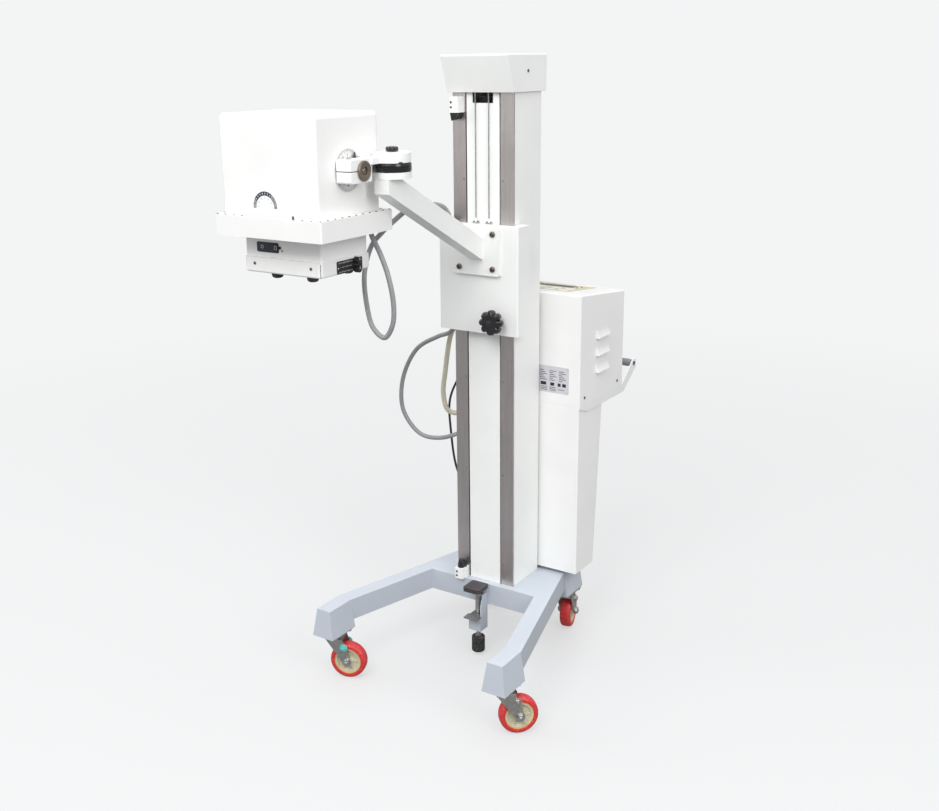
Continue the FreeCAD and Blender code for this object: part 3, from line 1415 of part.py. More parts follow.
def build_parts():
    """Every node of the unit by name, in the working frame."""
    parts = {
        "base_frame": base_frame(),
        "caster_plates": group(caster_plate(x, y) for x, y, heading in CASTERS.values()),
        "column_shell": column_shell(),
        "column_panel": column_panel(),
        "guide_rails": guide_rails(),
        "column_cap": column_cap(),
        "pulley_bracket": pulley_bracket(),
        "wire_ropes": wire_ropes(),
        "rope_pulley": rope_pulley(),
        "counterweight": counterweight(),
        "stop_blocks": stop_blocks(),
        "stop_buffers": stop_buffers(),
        "stand_screws": stand_screws(),
        "control_box": control_box(),
        "console_panel": console_panel(),
        "power_transformer": power_transformer(),
        "lower_cabinet": lower_cabinet(),
        "handle_frame": handle_frame(),
        "handle_grip": handle_grip(),
        "floor_lock_bracket": floor_lock_bracket(),
        "lock_spindle": lock_spindle(),
        "lock_foot": lock_foot(),
        "release_lever": release_lever(),
        "carriage_cover": carriage_cover(),
        "carriage_frame": carriage_frame(),
        "upper_rollers": guide_rollers(ROLLER_Z["upper"]),
        "lower_rollers": guide_rollers(ROLLER_Z["lower"]),
        "keeper_shoes": keeper_shoes(),
        "lift_lock_knob": lift_lock_knob(),
        "arm": arm(),
        "arm_bolts": arm_bolts(),
        "friction_ring": friction_ring(),
        "swivel_yoke": swivel_yoke(),
        "pan_lock_knob": pan_lock_knob(),
        "trunnion_shaft": trunnion_shaft(),
        "head_housing": head_housing(),
        "head_skirt": head_skirt(),
        "skirt_screws": skirt_screws(),
        "xray_tube": xray_tube(),
        "high_voltage_block": high_voltage_block(),
        "collimator_body": collimator_body(),
        "collimator_cover": collimator_cover(),
        "upper_field_knob": field_knob(FIELD_KNOB_Z["upper"]),
        "lower_field_knob": field_knob(FIELD_KNOB_Z["lower"]),
        "left_leaf": side_leaf(-1),
        "right_leaf": side_leaf(1),
        "front_leaf": cross_leaf(-1),
        "rear_leaf": cross_leaf(1),
        "lamp_switch": lamp_switch(),
        "head_cable": head_cable(),
        "carriage_cable": carriage_cable(),
        "spiral_conduit": spiral_conduit(),
    }
    for name, (x, y, heading) in CASTERS.items():
        parts["caster_fork_" + name] = caster_fork(x, y, heading)
        parts["caster_wheel_" + name] = caster_wheel(x, y, heading)
    return parts


# Which nodes are drilled for which group of fasteners.
DRILLED = {
    "stand_screws": [
        "guide_rails",
        "stop_blocks",
        "column_cap",
        "control_box",
        "handle_frame",
        "handle_grip",
        "floor_lock_bracket",
        "base_frame",
        "column_shell",
    ],
    "arm_bolts": ["arm", "carriage_cover", "carriage_frame"],
    "skirt_screws": ["head_skirt"],
}


def main():
    parts = build_parts()
    for fasteners, hosts in DRILLED.items():
        for host in hosts:
            parts[host] = parts[host].cut(parts[fasteners])
    footprint = Part.makeCompound(list(parts.values())).optimalBoundingBox(False, False)
    shift = Vector(-footprint.Center.x, -footprint.Center.y, 0)
    for name, shape in parts.items():
        shape.translate(shift)
        shape.exportStep("parts/" + name + ".step")


main()
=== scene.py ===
import json
import math

import bmesh
import bpy
import numpy as np
from mathutils import Matrix, Vector


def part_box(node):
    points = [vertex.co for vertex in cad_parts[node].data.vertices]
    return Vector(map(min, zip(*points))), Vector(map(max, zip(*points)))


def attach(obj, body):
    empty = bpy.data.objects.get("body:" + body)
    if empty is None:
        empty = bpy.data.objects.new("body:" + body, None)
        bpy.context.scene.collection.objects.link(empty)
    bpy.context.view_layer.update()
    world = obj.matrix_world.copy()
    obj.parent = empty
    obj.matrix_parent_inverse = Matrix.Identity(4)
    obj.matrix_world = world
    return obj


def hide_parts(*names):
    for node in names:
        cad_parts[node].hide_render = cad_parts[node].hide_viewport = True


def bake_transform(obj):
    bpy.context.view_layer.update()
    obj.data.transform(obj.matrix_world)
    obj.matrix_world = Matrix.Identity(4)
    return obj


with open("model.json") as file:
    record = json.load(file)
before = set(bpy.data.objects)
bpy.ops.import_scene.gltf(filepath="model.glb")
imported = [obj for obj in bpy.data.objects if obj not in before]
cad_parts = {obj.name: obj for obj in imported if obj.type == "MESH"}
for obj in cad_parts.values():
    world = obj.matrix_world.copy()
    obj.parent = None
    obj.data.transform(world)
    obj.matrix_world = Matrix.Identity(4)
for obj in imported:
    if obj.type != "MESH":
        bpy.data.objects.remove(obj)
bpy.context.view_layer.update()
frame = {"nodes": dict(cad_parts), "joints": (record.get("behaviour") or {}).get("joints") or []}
JOINTS = {joint["name"]: joint for joint in frame["joints"]}
MM = 0.001

# The stand's own reference point: on the floor, below the middle of the column's front face.
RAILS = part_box("guide_rails")
STAND_POINT = Vector(((RAILS[0].x + RAILS[1].x) / 2, RAILS[1].y, 0))

# Camera, given from the stand's reference point.
CAMERA_PLACE = Vector((1.549, -2.487, 1.6125))
CAMERA_AZIMUTH = math.radians(33.65)
CAMERA_ELEVATION = math.radians(16.29)
CAMERA_ROLL = math.radians(-0.78)
CAMERA_LENS = 43.74
CAMERA_SHIFT = (0.0186, -0.0137)


# ---- Materials ------------------------------------------------------------------------


class Shader:
    """A node material that is put together one texture at a time."""

    def __init__(self, name, roughness, metallic=0.0):
        self.material = bpy.data.materials.new(name)
        self.material.use_nodes = True
        self.nodes = self.material.node_tree.nodes
        self.links = self.material.node_tree.links
        self.surface = self.nodes["Principled BSDF"]
        self.surface.inputs["Roughness"].default_value = roughness
        self.surface.inputs["Metallic"].default_value = metallic
        self.place = self.add("ShaderNodeTexCoord").outputs["Object"]

    def add(self, kind, **settings):
        node = self.nodes.new(kind)
        for key, value in settings.items():
            setattr(node, key, value)
        return node

    def join(self, source, target):
        if hasattr(source, "is_output"):
            self.links.new(source, target)
        else:
            target.default_value = source

    def set(self, **inputs):
        for key, value in inputs.items():
            self.join(value, self.surface.inputs[key.replace("_", " ")])

    def stretched(self, stretch):
        mapping = self.add("ShaderNodeMapping")
        mapping.inputs["Scale"].default_value = stretch
        self.links.new(self.place, mapping.inputs["Vector"])
        return mapping.outputs["Vector"]

    def noise(self, scale, detail=2.0, stretch=(1, 1, 1)):
        node = self.add("ShaderNodeTexNoise")
        node.inputs["Scale"].default_value = scale
        node.inputs["Detail"].default_value = detail
        self.links.new(self.stretched(stretch), node.inputs["Vector"])
        return node.outputs["Fac"]

    def cells(self, scale, feature="F1"):
        node = self.add("ShaderNodeTexVoronoi", feature=feature)
        node.inputs["Scale"].default_value = scale
        self.links.new(self.place, node.inputs["Vector"])
        return node.outputs["Distance"]

    def bands(self, scale, direction="Z", distortion=0.0, stretch=(1, 1, 1)):
        node = self.add("ShaderNodeTexWave", bands_direction=direction)
        node.inputs["Scale"].default_value = scale
        node.inputs["Distortion"].default_value = distortion
        self.links.new(self.stretched(stretch), node.inputs["Vector"])
        return node.outputs["Fac"]

    def span(self, value, low, high, from_low=0.0, from_high=1.0):
        node = self.add("ShaderNodeMapRange")
        for key, number in (
            ("From Min", from_low),
            ("From Max", from_high),
            ("To Min", low),
            ("To Max", high),
        ):
            node.inputs[key].default_value = number
        self.join(value, node.inputs["Value"])
        return node.outputs["Result"]

    def math(self, operation, first, second):
        node = self.add("ShaderNodeMath", operation=operation)
        self.join(first, node.inputs[0])
        self.join(second, node.inputs[1])
        return node.outputs["Value"]

    def mix(self, share, first, second):
        node = self.add("ShaderNodeMix", data_type="RGBA")
        self.join(share, node.inputs["Factor"])
        for value, target in ((first, node.inputs["A"]), (second, node.inputs["B"])):
            self.join((*value, 1.0) if isinstance(value, tuple) else value, target)
        return next(out for out in node.outputs if out.name == "Result" and out.type == "RGBA")

    def edges(self, radius):
        """A mask that is 1 on convex and concave edges and 0 on flat faces."""
        bevel = self.add("ShaderNodeBevel", samples=4)
        bevel.inputs["Radius"].default_value = radius
        flat = self.add("ShaderNodeNewGeometry").outputs["Normal"]
        dot = self.add("ShaderNodeVectorMath", operation="DOT_PRODUCT")
        self.links.new(bevel.outputs["Normal"], dot.inputs[0])
        self.links.new(flat, dot.inputs[1])
        return self.span(dot.outputs["Value"], 1.0, 0.0, 0.86, 0.995)

    def upward(self):
        """A mask that is 1 on faces that look up."""
        flat = self.add("ShaderNodeNewGeometry").outputs["Normal"]
        split = self.add("ShaderNodeSeparateXYZ")
        self.links.new(flat, split.inputs["Vector"])
        return self.span(split.outputs["Z"], 0.0, 1.0, 0.6, 0.95)

    def bump(self, *layers):
        """Stack (height, depth in metres) layers into one normal."""
        normal = None
        for height, depth in layers:
            node = self.add("ShaderNodeBump")
            node.inputs["Strength"].default_value = 1.0
            node.inputs["Distance"].default_value = depth
            self.join(height, node.inputs["Height"])
            if normal is not None:
                self.links.new(normal, node.inputs["Normal"])
            normal = node.outputs["Normal"]
        self.links.new(normal, self.surface.inputs["Normal"])


def scaled(colour, factor):
    return tuple(min(1.0, channel * factor) for channel in colour)


def powder_coat(name, colour, peel=0.00006, wear=0.35, wear_colour=(0.42, 0.42, 0.41)):
    """Baked powder coat: fine orange peel, faint clouding, dust on top, rubbed edges."""
    s = Shader(name, 0.38)
    clouds = s.noise(7, 3)
    base = s.mix(s.span(clouds, 0, 1, 0.35, 0.65), colour, scaled(colour, 0.965))
    dust = s.math("MULTIPLY", s.upward(), s.span(s.noise(38, 5), 0, 0.10, 0.42, 0.75))
    dusty = s.mix(dust, base, scaled(colour, 0.80))
    chips = s.span(s.noise(230, 4), 0, 1, 0.56, 0.66)
    rubbed = s.math("MULTIPLY", s.edges(0.0012), chips)
    worn = s.math("MULTIPLY", rubbed, wear)
    s.set(Base_Color=s.mix(worn, dusty, wear_colour))
    s.set(Roughness=s.span(s.noise(60, 3), 0.30, 0.44))
    s.set(Coat_Weight=0.15, Coat_Roughness=0.18)
    s.bump((s.noise(900, 2), peel), (s.noise(260, 1), peel * 1.2))
    return s.material


def brushed_metal(name, colour, grain_axis, roughness=0.34, grime=0.25):
    """Metal ground along one axis: long fine scratches and soft handling marks."""
    s = Shader(name, roughness, 1.0)
    stretch = tuple(0.02 if axis == grain_axis else 1.0 for axis in "XYZ")
    scratches = s.noise(2600, 3, stretch)
    streaks = s.noise(420, 3, stretch)
    smears = s.noise(9, 4)
    tone = s.math("ADD", s.math("MULTIPLY", scratches, 0.55), s.math("MULTIPLY", streaks, 0.45))
    base = s.mix(s.span(tone, 0, 1, 0.3, 0.7), scaled(colour, 0.82), scaled(colour, 1.12))
    s.set(Base_Color=s.mix(s.span(smears, 0, grime, 0.45, 0.8), base, scaled(colour, 0.55)))
    s.set(Roughness=s.span(streaks, roughness - 0.08, roughness + 0.12))
    s.set(Anisotropic=0.55)
    s.bump((scratches, 0.000012), (streaks, 0.00002))
    return s.material


def plated_metal(name, colour, roughness=0.28):
    """Zinc or nickel plate: crystalline clouding, small pits and random patches of darker grime."""
    s = Shader(name, roughness, 1.0)
    spangle = s.cells(420)
    clouds = s.noise(90, 4)
    base = s.mix(s.span(clouds, 0, 1, 0.35, 0.7), colour, scaled(colour, 0.74))
    grime = s.math("MULTIPLY", s.span(s.noise(170, 4), 0, 1, 0.5, 0.72), 0.45)
    s.set(Base_Color=s.mix(grime, base, scaled(colour, 0.42)))
    s.set(Roughness=s.span(clouds, roughness, roughness + 0.22))
    s.bump((spangle, 0.00004), (s.noise(1500, 2), 0.00002))
    return s.material


def turned_metal(name, colour, centre, axis, roughness=0.3):
    """Metal faced on a lathe: fine rings around an axis through centre."""
    s = Shader(name, roughness, 1.0)
    offset = s.add("ShaderNodeVectorMath", operation="SUBTRACT")
    s.links.new(s.place, offset.inputs[0])
    offset.inputs[1].default_value = centre
    flat = s.add("ShaderNodeVectorMath", operation="MULTIPLY")
    s.links.new(offset.outputs["Vector"], flat.inputs[0])
    flat.inputs[1].default_value = tuple(0.0 if abs(part) > 0.5 else 1.0 for part in axis)
    length = s.add("ShaderNodeVectorMath", operation="LENGTH")
    s.links.new(flat.outputs["Vector"], length.inputs[0])
    radius = length.outputs["Value"]
    rings = s.math("SINE", s.math("MULTIPLY", radius, 9000.0), 0.0)
    coarse = s.math("SINE", s.math("MULTIPLY", radius, 1900.0), 0.0)
    tone = s.math("ADD", s.math("MULTIPLY", rings, 0.35), s.math("MULTIPLY", coarse, 0.3))
    clouds = s.noise(130, 3)
    base = s.mix(s.span(tone, 0, 1, -0.6, 0.6), scaled(colour, 0.78), scaled(colour, 1.15))
    s.set(Base_Color=s.mix(s.span(clouds, 0, 0.5, 0.45, 0.75), base, scaled(colour, 0.6)))
    s.set(Roughness=s.span(clouds, roughness, roughness + 0.2))
    s.bump((rings, 0.00001), (coarse, 0.00002))
    return s.material


def gloss_moulding(name, colour, roughness=0.16):
    """Shiny moulded plastic with a faint ripple, fine scuffs and fingerprints."""
    s = Shader(name, roughness)
    smudge = s.span(s.noise(75, 5), 0, 1, 0.45, 0.7)
    s.set(Base_Color=s.mix(s.math("MULTIPLY", smudge, 0.3), colour, scaled(colour, 2.4)))
    s.set(Roughness=s.span(smudge, roughness, roughness + 0.22))
    s.set(Coat_Weight=0.3, Coat_Roughness=0.1)
    s.bump((s.noise(180, 2), 0.00005), (s.noise(2200, 2), 0.000008))
    return s.material


def satin_plastic(name, colour, grain=1800, depth=0.00004, roughness=0.5):
    """Moulded plastic with a spark-eroded grain."""
    s = Shader(name, roughness)
    clouds = s.noise(45, 4)
    s.set(Base_Color=s.mix(s.span(clouds, 0, 1, 0.35, 0.7), colour, scaled(colour, 0.88)))
    s.set(Roughness=s.span(clouds, roughness - 0.08, roughness + 0.1))
    s.bump((s.cells(grain), depth), (s.noise(grain * 2, 2), depth * 0.4))
    return s.material


def moulded_rubber(name, colour):
    """Matt rubber with a dusty bloom."""
    s = Shader(name, 0.75)
    bloom = s.span(s.noise(120, 6), 0, 0.5, 0.42, 0.72)
    s.set(Base_Color=s.mix(bloom, colour, (0.16, 0.155, 0.15)))
    s.set(Roughness=s.span(s.noise(300, 3), 0.6, 0.88))
    s.bump((s.noise(1300, 4), 0.00009), (s.noise(260, 2), 0.00012))
    return s.material


def cable_sheath(name, colour):
    """Extruded PVC sheath: satin, with drawing lines, scuffs and finger grime."""
    s = Shader(name, 0.42)
    scuffs = s.span(s.noise(420, 5), 0, 1, 0.52, 0.7)
    dirt = s.span(s.noise(28, 4), 0, 0.4, 0.4, 0.75)
    base = s.mix(dirt, colour, scaled(colour, 0.68))
    s.set(Base_Color=s.mix(s.math("MULTIPLY", scuffs, 0.35), base, scaled(colour, 1.5)))
    s.set(Roughness=s.span(scuffs, 0.34, 0.58))
    s.bump((s.noise(800, 3), 0.00006))
    return s.material


def cast_polyurethane(name, colour):
    """Wheel tread: slightly translucent, scuffed and picking up floor dust."""
    s = Shader(name, 0.34)
    dust = s.span(s.noise(150, 6), 0, 0.42, 0.5, 0.78)
    base = s.mix(s.span(s.noise(35, 3), 0, 1), colour, scaled(colour, 0.82))
    s.set(Base_Color=s.mix(dust, base, (0.42, 0.33, 0.30)))
    s.set(Roughness=s.span(s.noise(500, 3), 0.26, 0.5))
    s.set(Subsurface_Weight=0.06, Subsurface_Scale=0.004)
    s.bump((s.noise(700, 4), 0.00012), (s.noise(90, 2), 0.00025))
    return s.material


def cast_metal(name, colour):
    """Painted rough casting."""
    s = Shader(name, 0.6, 0.25)
    pits = s.noise(160, 6)
    rust = s.math("MULTIPLY", s.edges(0.002), s.span(s.noise(120, 5), 0, 1, 0.5, 0.65))
    base = s.mix(s.span(pits, 0, 1), colour, scaled(colour, 0.7))
    s.set(Base_Color=s.mix(rust, base, (0.28, 0.17, 0.10)))
    s.set(Roughness=s.span(pits, 0.5, 0.8))
    s.bump((pits, 0.0005), (s.noise(900, 3), 0.0001))
    return s.material


def lamination_stack(name, colour):
    """Varnished transformer laminations seen edge on."""
    s = Shader(name, 0.45, 0.7)
    sheets = s.bands(420, "Y", 0.3)
    varnish = s.noise(40, 5)
    base = s.mix(sheets, scaled(colour, 0.65), colour)
    s.set(Base_Color=s.mix(s.span(varnish, 0, 0.6, 0.45, 0.75), base, (0.20, 0.10, 0.04)))
    s.set(Roughness=s.span(varnish, 0.3, 0.6))
    s.bump((sheets, 0.00015), (s.noise(500, 3), 0.00004))
    return s.material


def clear_glass(name, tint):
    """Thick glass with faint waves."""
    s = Shader(name, 0.04)
    s.set(Base_Color=(*tint, 1.0), Transmission_Weight=0.95, IOR=1.47)
    s.set(Roughness=s.span(s.noise(60, 4), 0.02, 0.09))
    s.bump((s.noise(35, 2), 0.0002))
    return s.material


def printed_film(name, colour, roughness=0.4):
    """Screen-printed polyester film: even colour, velvet grain, light scratches."""
    s = Shader(name, roughness)
    scratch = s.span(s.noise(900, 2, (1, 0.05, 1)), 0, 1, 0.62, 0.7)
    clouds = s.noise(50, 3)
    base = s.mix(s.span(clouds, 0, 0.5, 0.4, 0.7), colour, scaled(colour, 0.9))
    s.set(Base_Color=s.mix(s.math("MULTIPLY", scratch, 0.18), base, scaled(colour, 1.3)))
    s.set(Roughness=s.span(clouds, roughness - 0.06, roughness + 0.12))
    s.bump((s.cells(2600), 0.00002))
    return s.material


def glowing_lens(name, colour):
    """Small coloured indicator lens."""
    s = Shader(name, 0.12)
    facets = s.cells(2400)
    s.set(Base_Color=s.mix(s.span(facets, 0, 1), colour, scaled(colour, 0.6)))
    s.set(Coat_Weight=0.6)
    s.bump((facets, 0.00005))
    return s.material


WHITE = (0.905, 0.915, 0.90)
MATERIALS = {
    "white_paint": powder_coat("white_powder_coat", WHITE),
    # A brighter copy of the white powder coat: its extra brightness is painted light, standing in for the stronger
    # light on the head, stop blocks, control box and cabinet.
    "brighter_lit_paint": powder_coat("brighter_lit_powder_coat", (0.93, 0.93, 0.92), 0.00004, 0.2),
    "base_paint": powder_coat("base_powder_coat", (0.54, 0.585, 0.65), 0.00007, 0.5, (0.3, 0.31, 0.33)),
    "rail_steel": brushed_metal("rail_ground_steel", (0.66, 0.61, 0.60), "Z", 0.36),
    "zinc": plated_metal("zinc_plate", (0.56, 0.56, 0.53)),
    "nickel": plated_metal("nickel_screws", (0.62, 0.61, 0.59), 0.2),
    "dark_screw": plated_metal("blackened_screws", (0.20, 0.195, 0.19), 0.35),
    "aged_screw": plated_metal("aged_cap_screws", (0.235, 0.20, 0.17), 0.36),
    "rope_steel": plated_metal("wire_rope_steel", (0.46, 0.46, 0.46), 0.35),
    "roller_steel": brushed_metal("roller_steel", (0.55, 0.55, 0.55), "X", 0.25),
    "sheave": brushed_metal("sheave_steel", (0.5, 0.5, 0.51), "X", 0.3),
    "black_gloss": gloss_moulding("black_gloss_moulding", (0.012, 0.012, 0.014)),
    "black_satin": satin_plastic("black_satin_moulding", (0.020, 0.020, 0.022)),
    "rubber": moulded_rubber("black_rubber", (0.018, 0.018, 0.019)),
    "cable": cable_sheath("grey_pvc_cable", (0.30, 0.305, 0.31)),
    "black_cable": cable_sheath("black_pvc_cable", (0.03, 0.03, 0.032)),
    "conduit": cable_sheath("beige_conduit", (0.62, 0.58, 0.46)),
    "tyre": cast_polyurethane("red_polyurethane", (0.72, 0.035, 0.04)),
    "hub": satin_plastic("cream_nylon_hub", (0.66, 0.63, 0.46), 900),
    "hub_ring": satin_plastic("amber_hub_ring", (0.85, 0.48, 0.16), 900),
    "turquoise": gloss_moulding("turquoise_cap", (0.13, 0.52, 0.50), 0.3),
    "nylon": satin_plastic("white_nylon", (0.74, 0.72, 0.66), 700),
    "cast_iron": cast_metal("painted_cast_iron", (0.10, 0.10, 0.105)),
    "laminations": lamination_stack("transformer_laminations", (0.26, 0.25, 0.24)),
    "resin": cast_metal("cast_resin_block", (0.16, 0.13, 0.09)),
    "shutter": brushed_metal("lead_faced_steel", (0.30, 0.31, 0.33), "X", 0.45),
    "glass": clear_glass("tube_glass", (0.92, 0.96, 0.95)),
    "console": printed_film("console_film", (0.63, 0.58, 0.42)),
    "dark_film": printed_film("dark_film", (0.035, 0.04, 0.06), 0.3),
    "black_film": printed_film("black_film", (0.016, 0.016, 0.018), 0.34),
    "plate_film": printed_film("plate_film", (0.66, 0.65, 0.69), 0.35),
    "pedal": satin_plastic("pedal_pad", (0.055, 0.045, 0.052), 900, 0.00008, 0.42),
    "white_film": printed_film("white_film", (0.80, 0.80, 0.79)),
    "grey_ink": printed_film("grey_ink", (0.14, 0.145, 0.17), 0.5),
    "faint_ink": printed_film("faint_ink", (0.56, 0.56, 0.57), 0.5),
    "grip": satin_plastic("grey_grip_sleeve", (0.27, 0.28, 0.30), 1100, 0.00008),
    "red_lens": glowing_lens("red_lens", (0.75, 0.05, 0.03)),
    "green_lens": glowing_lens("green_lens", (0.05, 0.55, 0.12)),
}
TILT_AXIS = Vector(JOINTS["head_tilt"]["pos_m"])
MATERIALS["bronze"] = turned_metal("turned_bronze", (0.34, 0.29, 0.235), TILT_AXIS, (1, 0, 0), 0.32)




# ---- Finish of the CAD nodes ----------------------------------------------------------

# node: (material, width of its rounded edges in mm)
CAD_FINISH = {
    "base_frame": ("base_paint", 2.5),
    "caster_plates": ("zinc", 0.6),
    "column_shell": ("white_paint", 1.5),
    "column_panel": ("white_paint", 1.2),
    "guide_rails": ("rail_steel", 0.4),
    "column_cap": ("white_paint", 1.2),
    "pulley_bracket": ("zinc", 0.6),
    # The control box and cabinet take the brighter coat, which paints the stronger light on their fronts into their
    # colour.
    "stop_blocks": ("brighter_lit_paint", 0.8),
    "control_box": ("brighter_lit_paint", 1.0),
    "console_panel": ("console", 0.5),
    "power_transformer": ("laminations", 0.8),
    "lower_cabinet": ("brighter_lit_paint", 1.2),
    "handle_frame": ("white_paint", 1.2),
    "floor_lock_bracket": ("base_paint", 1.0),
    "rope_pulley": ("sheave", 0.5),
    "counterweight": ("cast_iron", 1.5),
    "carriage_cover": ("white_paint", 1.0),
    "carriage_frame": ("zinc", 0.8),
    "keeper_shoes": ("nylon", 1.0),
    "arm": ("white_paint", 1.6),
    "upper_rollers": ("roller_steel", 0.4),
    "lower_rollers": ("roller_steel", 0.4),
    "swivel_yoke": ("brighter_lit_paint", 1.5),
    "head_housing": ("brighter_lit_paint", 0.8),
    "head_skirt": ("brighter_lit_paint", 1.8),
    "xray_tube": ("glass", 0.4),
    "high_voltage_block": ("resin", 2.0),
    "collimator_body": ("brighter_lit_paint", 1.5),
    "collimator_cover": ("brighter_lit_paint", 2.5),
    "left_leaf": ("shutter", 0.3),
    "right_leaf": ("shutter", 0.3),
    "front_leaf": ("shutter", 0.3),
    "rear_leaf": ("shutter", 0.3),
    "lamp_switch": ("dark_film", 0.8),
    "release_lever": ("zinc", 0.5),
    "lock_spindle": ("zinc", 1.5),
    "lock_foot": ("rubber", 1.5),
}
for corner in ("front_left", "front_right", "rear_left", "rear_right"):
    CAD_FINISH["caster_fork_" + corner] = ("zinc", 0.7)


def rounded_edges(item, width, segments=3):
    """Round the hard edges of a mesh with modifiers; its own points stay as they are."""
    weld = item.modifiers.new("weld", "WELD")
    weld.merge_threshold = 0.01 * MM
    flatten = item.modifiers.new("flatten", "DECIMATE")
    flatten.decimate_type = "DISSOLVE"
    flatten.angle_limit = math.radians(0.4)
    bevel = item.modifiers.new("bevel", "BEVEL")
    bevel.width = width * MM
    bevel.segments = segments
    bevel.limit_method = "ANGLE"
    bevel.angle_limit = math.radians(38)
    bevel.harden_normals = True
    bevel.miter_outer = "MITER_ARC"
    normals = item.modifiers.new("normals", "WEIGHTED_NORMAL")
    normals.weight = 80
    return item


def finish_cad_nodes():
    for node, (finish, width) in CAD_FINISH.items():
        item = frame["nodes"][node]
        item.data.materials.clear()
        item.data.materials.append(MATERIALS[finish])
        rounded_edges(item, width)
        for polygon in item.data.polygons:
            polygon.material_index = 0


finish_cad_nodes()


# ---- Building forms -------------------------------------------------------------------

X, Y, Z = Vector((1, 0, 0)), Vector((0, 1, 0)), Vector((0, 0, 1))


def stand(x, y, z):
    """A point given in mm from the stand's reference point."""
    return STAND_POINT + Vector((x, y, z)) * MM


def middle(node):
    low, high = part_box(node)
    return (low + high) / 2


def across(axis):
    """Two directions square to an axis; the first is as level as it can be."""
    axis = Vector(axis).normalized()
    first = Z.cross(axis)
    first = first.normalized() if first.length > 0.1 else X.copy()
    return first, axis.cross(first)


class Shape:
    """Gathers simple forms into one mesh. Points are in metres, in the row frame."""

    def __init__(self):
        self.points = []
        self.faces = []
        self.finishes = []
        self.finish = 0

    def add(self, points, faces):
        first = len(self.points)
        self.points += [tuple(point) for point in points]
        self.faces += [[first + index for index in face] for face in faces]
        self.finishes += [self.finish] * len(faces)

    def rings(self, rings, closed=False, capped=True):
        """Skin a list of equal rings of points."""
        count = len(rings[0])
        points = [point for ring in rings for point in ring]
        faces = []
        for row in range(len(rings) if closed else len(rings) - 1):
            low, high = row * count, ((row + 1) % len(rings)) * count
            for index in range(count):
                after = (index + 1) % count
                faces.append((low + index, low + after, high + after, high + index))
        if capped and not closed:
            faces.append(tuple(range(count)))
            faces.append(tuple(range(len(points) - count, len(points))))
        self.add(points, faces)

    def lathe(self, profile, place, axis, steps=64, closed=False, lobes=None):
        """Turn a (radius, along) profile in metres about an axis; lobes scales the radius."""
        first, second = across(axis)
        axis = Vector(axis).normalized()
        rings = []
        for radius, along in profile:
            ring = []
            for step in range(steps):
                angle = 2 * math.pi * step / steps
                reach = radius * (lobes(angle) if lobes else 1.0)
                spoke = first * math.cos(angle) + second * math.sin(angle)
                ring.append(place + axis * along + spoke * reach)
            rings.append(ring)
        self.rings(rings, closed)

    def prism(self, outline, place, right, up, depth):
        """A (right, up) outline in metres, extruded by depth along right x up."""
        out = right.cross(up) * depth
        ring = [place + right * u + up * v for u, v in outline]
        self.rings([ring, [point + out for point in ring]])

    def slab(self, place, right, up, size, depth, corner=0.0):
        """A flat plate about place with rounded corners."""
        self.prism(rounded_outline(size[0], size[1], corner), place, right, up, depth)

    def tube(self, path, radius, sides=20, swell=None):
        """A round bar along a path; swell(distance, angle) scales the radius."""
        rings = []
        for point, first, second, distance in frames_along(path):
            ring = []
            for side in range(sides):
                angle = 2 * math.pi * side / sides
                reach = radius * (swell(distance, angle) if swell else 1.0)
                ring.append(point + (first * math.cos(angle) + second * math.sin(angle)) * reach)
            rings.append(ring)
        self.rings(rings)

    def screw_head(self, place, axis, radius, height, recess, turn=0.0):
        """A domed head with a cross, hex or plain top, standing on place."""
        first, second = across(axis)
        axis = Vector(axis).normalized()
        steps, levels = 48, [0.0, 0.1, 0.2, 0.28, 0.36, 0.44, 0.52, 0.6, 0.7, 0.8, 0.9, 0.97, 1.0]
        rings = []
        for share in levels:
            ring = []
            for step in range(steps):
                angle = 2 * math.pi * step / steps
                u, v = share * math.cos(angle + turn), share * math.sin(angle + turn)
                rise = height * (1 - 0.45 * share**3)
                rise -= 0.5 * height * RECESSES[recess](u, v)
                spoke = first * math.cos(angle) + second * math.sin(angle)
                ring.append(place + axis * rise + spoke * (share * radius))
            rings.append(ring)
        rings.append([point - axis * (height * 0.55) for point in rings[-1]])
        self.rings(rings)

    def hexagon(self, place, axis, across_flats, height, crown=0.18):
        """A hexagon nut or bolt head with a chamfered crown."""

        def flats(angle):
            return 1 / max(math.cos((angle % (math.pi / 3)) - math.pi / 6), 0.5)

        radius = across_flats / 2
        top = radius * (1 - crown)
        profile = [(radius, 0), (radius, height * 0.8), (top, height), (radius * 0.05, height)]
        self.lathe(profile, place, axis, 48, lobes=flats)

    def piece(self, name, body, *finishes, rounding=0.0, sharp=35, segments=2):
        """Make the gathered forms one object that rides on a body."""
        mesh = bpy.data.meshes.new(name)
        mesh.from_pydata(self.points, [], self.faces)
        for finish in finishes:
            mesh.materials.append(MATERIALS[finish])
        mesh.polygons.foreach_set("material_index", self.finishes)
        work = bmesh.new()
        work.from_mesh(mesh)
        bmesh.ops.remove_doubles(work, verts=work.verts, dist=1e-7)
        bmesh.ops.recalc_face_normals(work, faces=work.faces)
        work.to_mesh(mesh)
        work.free()
        mesh.polygons.foreach_set("use_smooth", [True] * len(mesh.polygons))
        mesh.set_sharp_from_angle(angle=math.radians(sharp))
        item = bpy.data.objects.new(name, mesh)
        bpy.context.scene.collection.objects.link(item)
        if rounding:
            rounded_edges(item, rounding, segments)
        if body:
            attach(item, body)
        return item


def plus_recess(u, v):
    arm = max(0.0, 1 - abs(u) / 0.17) if abs(v) < 0.56 else 0.0
    bar = max(0.0, 1 - abs(v) / 0.17) if abs(u) < 0.56 else 0.0
    return min(1.0, 2 * max(arm, bar))


def hex_recess(u, v):
    reach = max(abs(u), abs(u * 0.5 + v * 0.866), abs(u * 0.5 - v * 0.866))
    return 1.0 if reach < 0.46 else 0.0


RECESSES = {"cross": plus_recess, "hex": hex_recess, "plain": lambda u, v: 0.0}


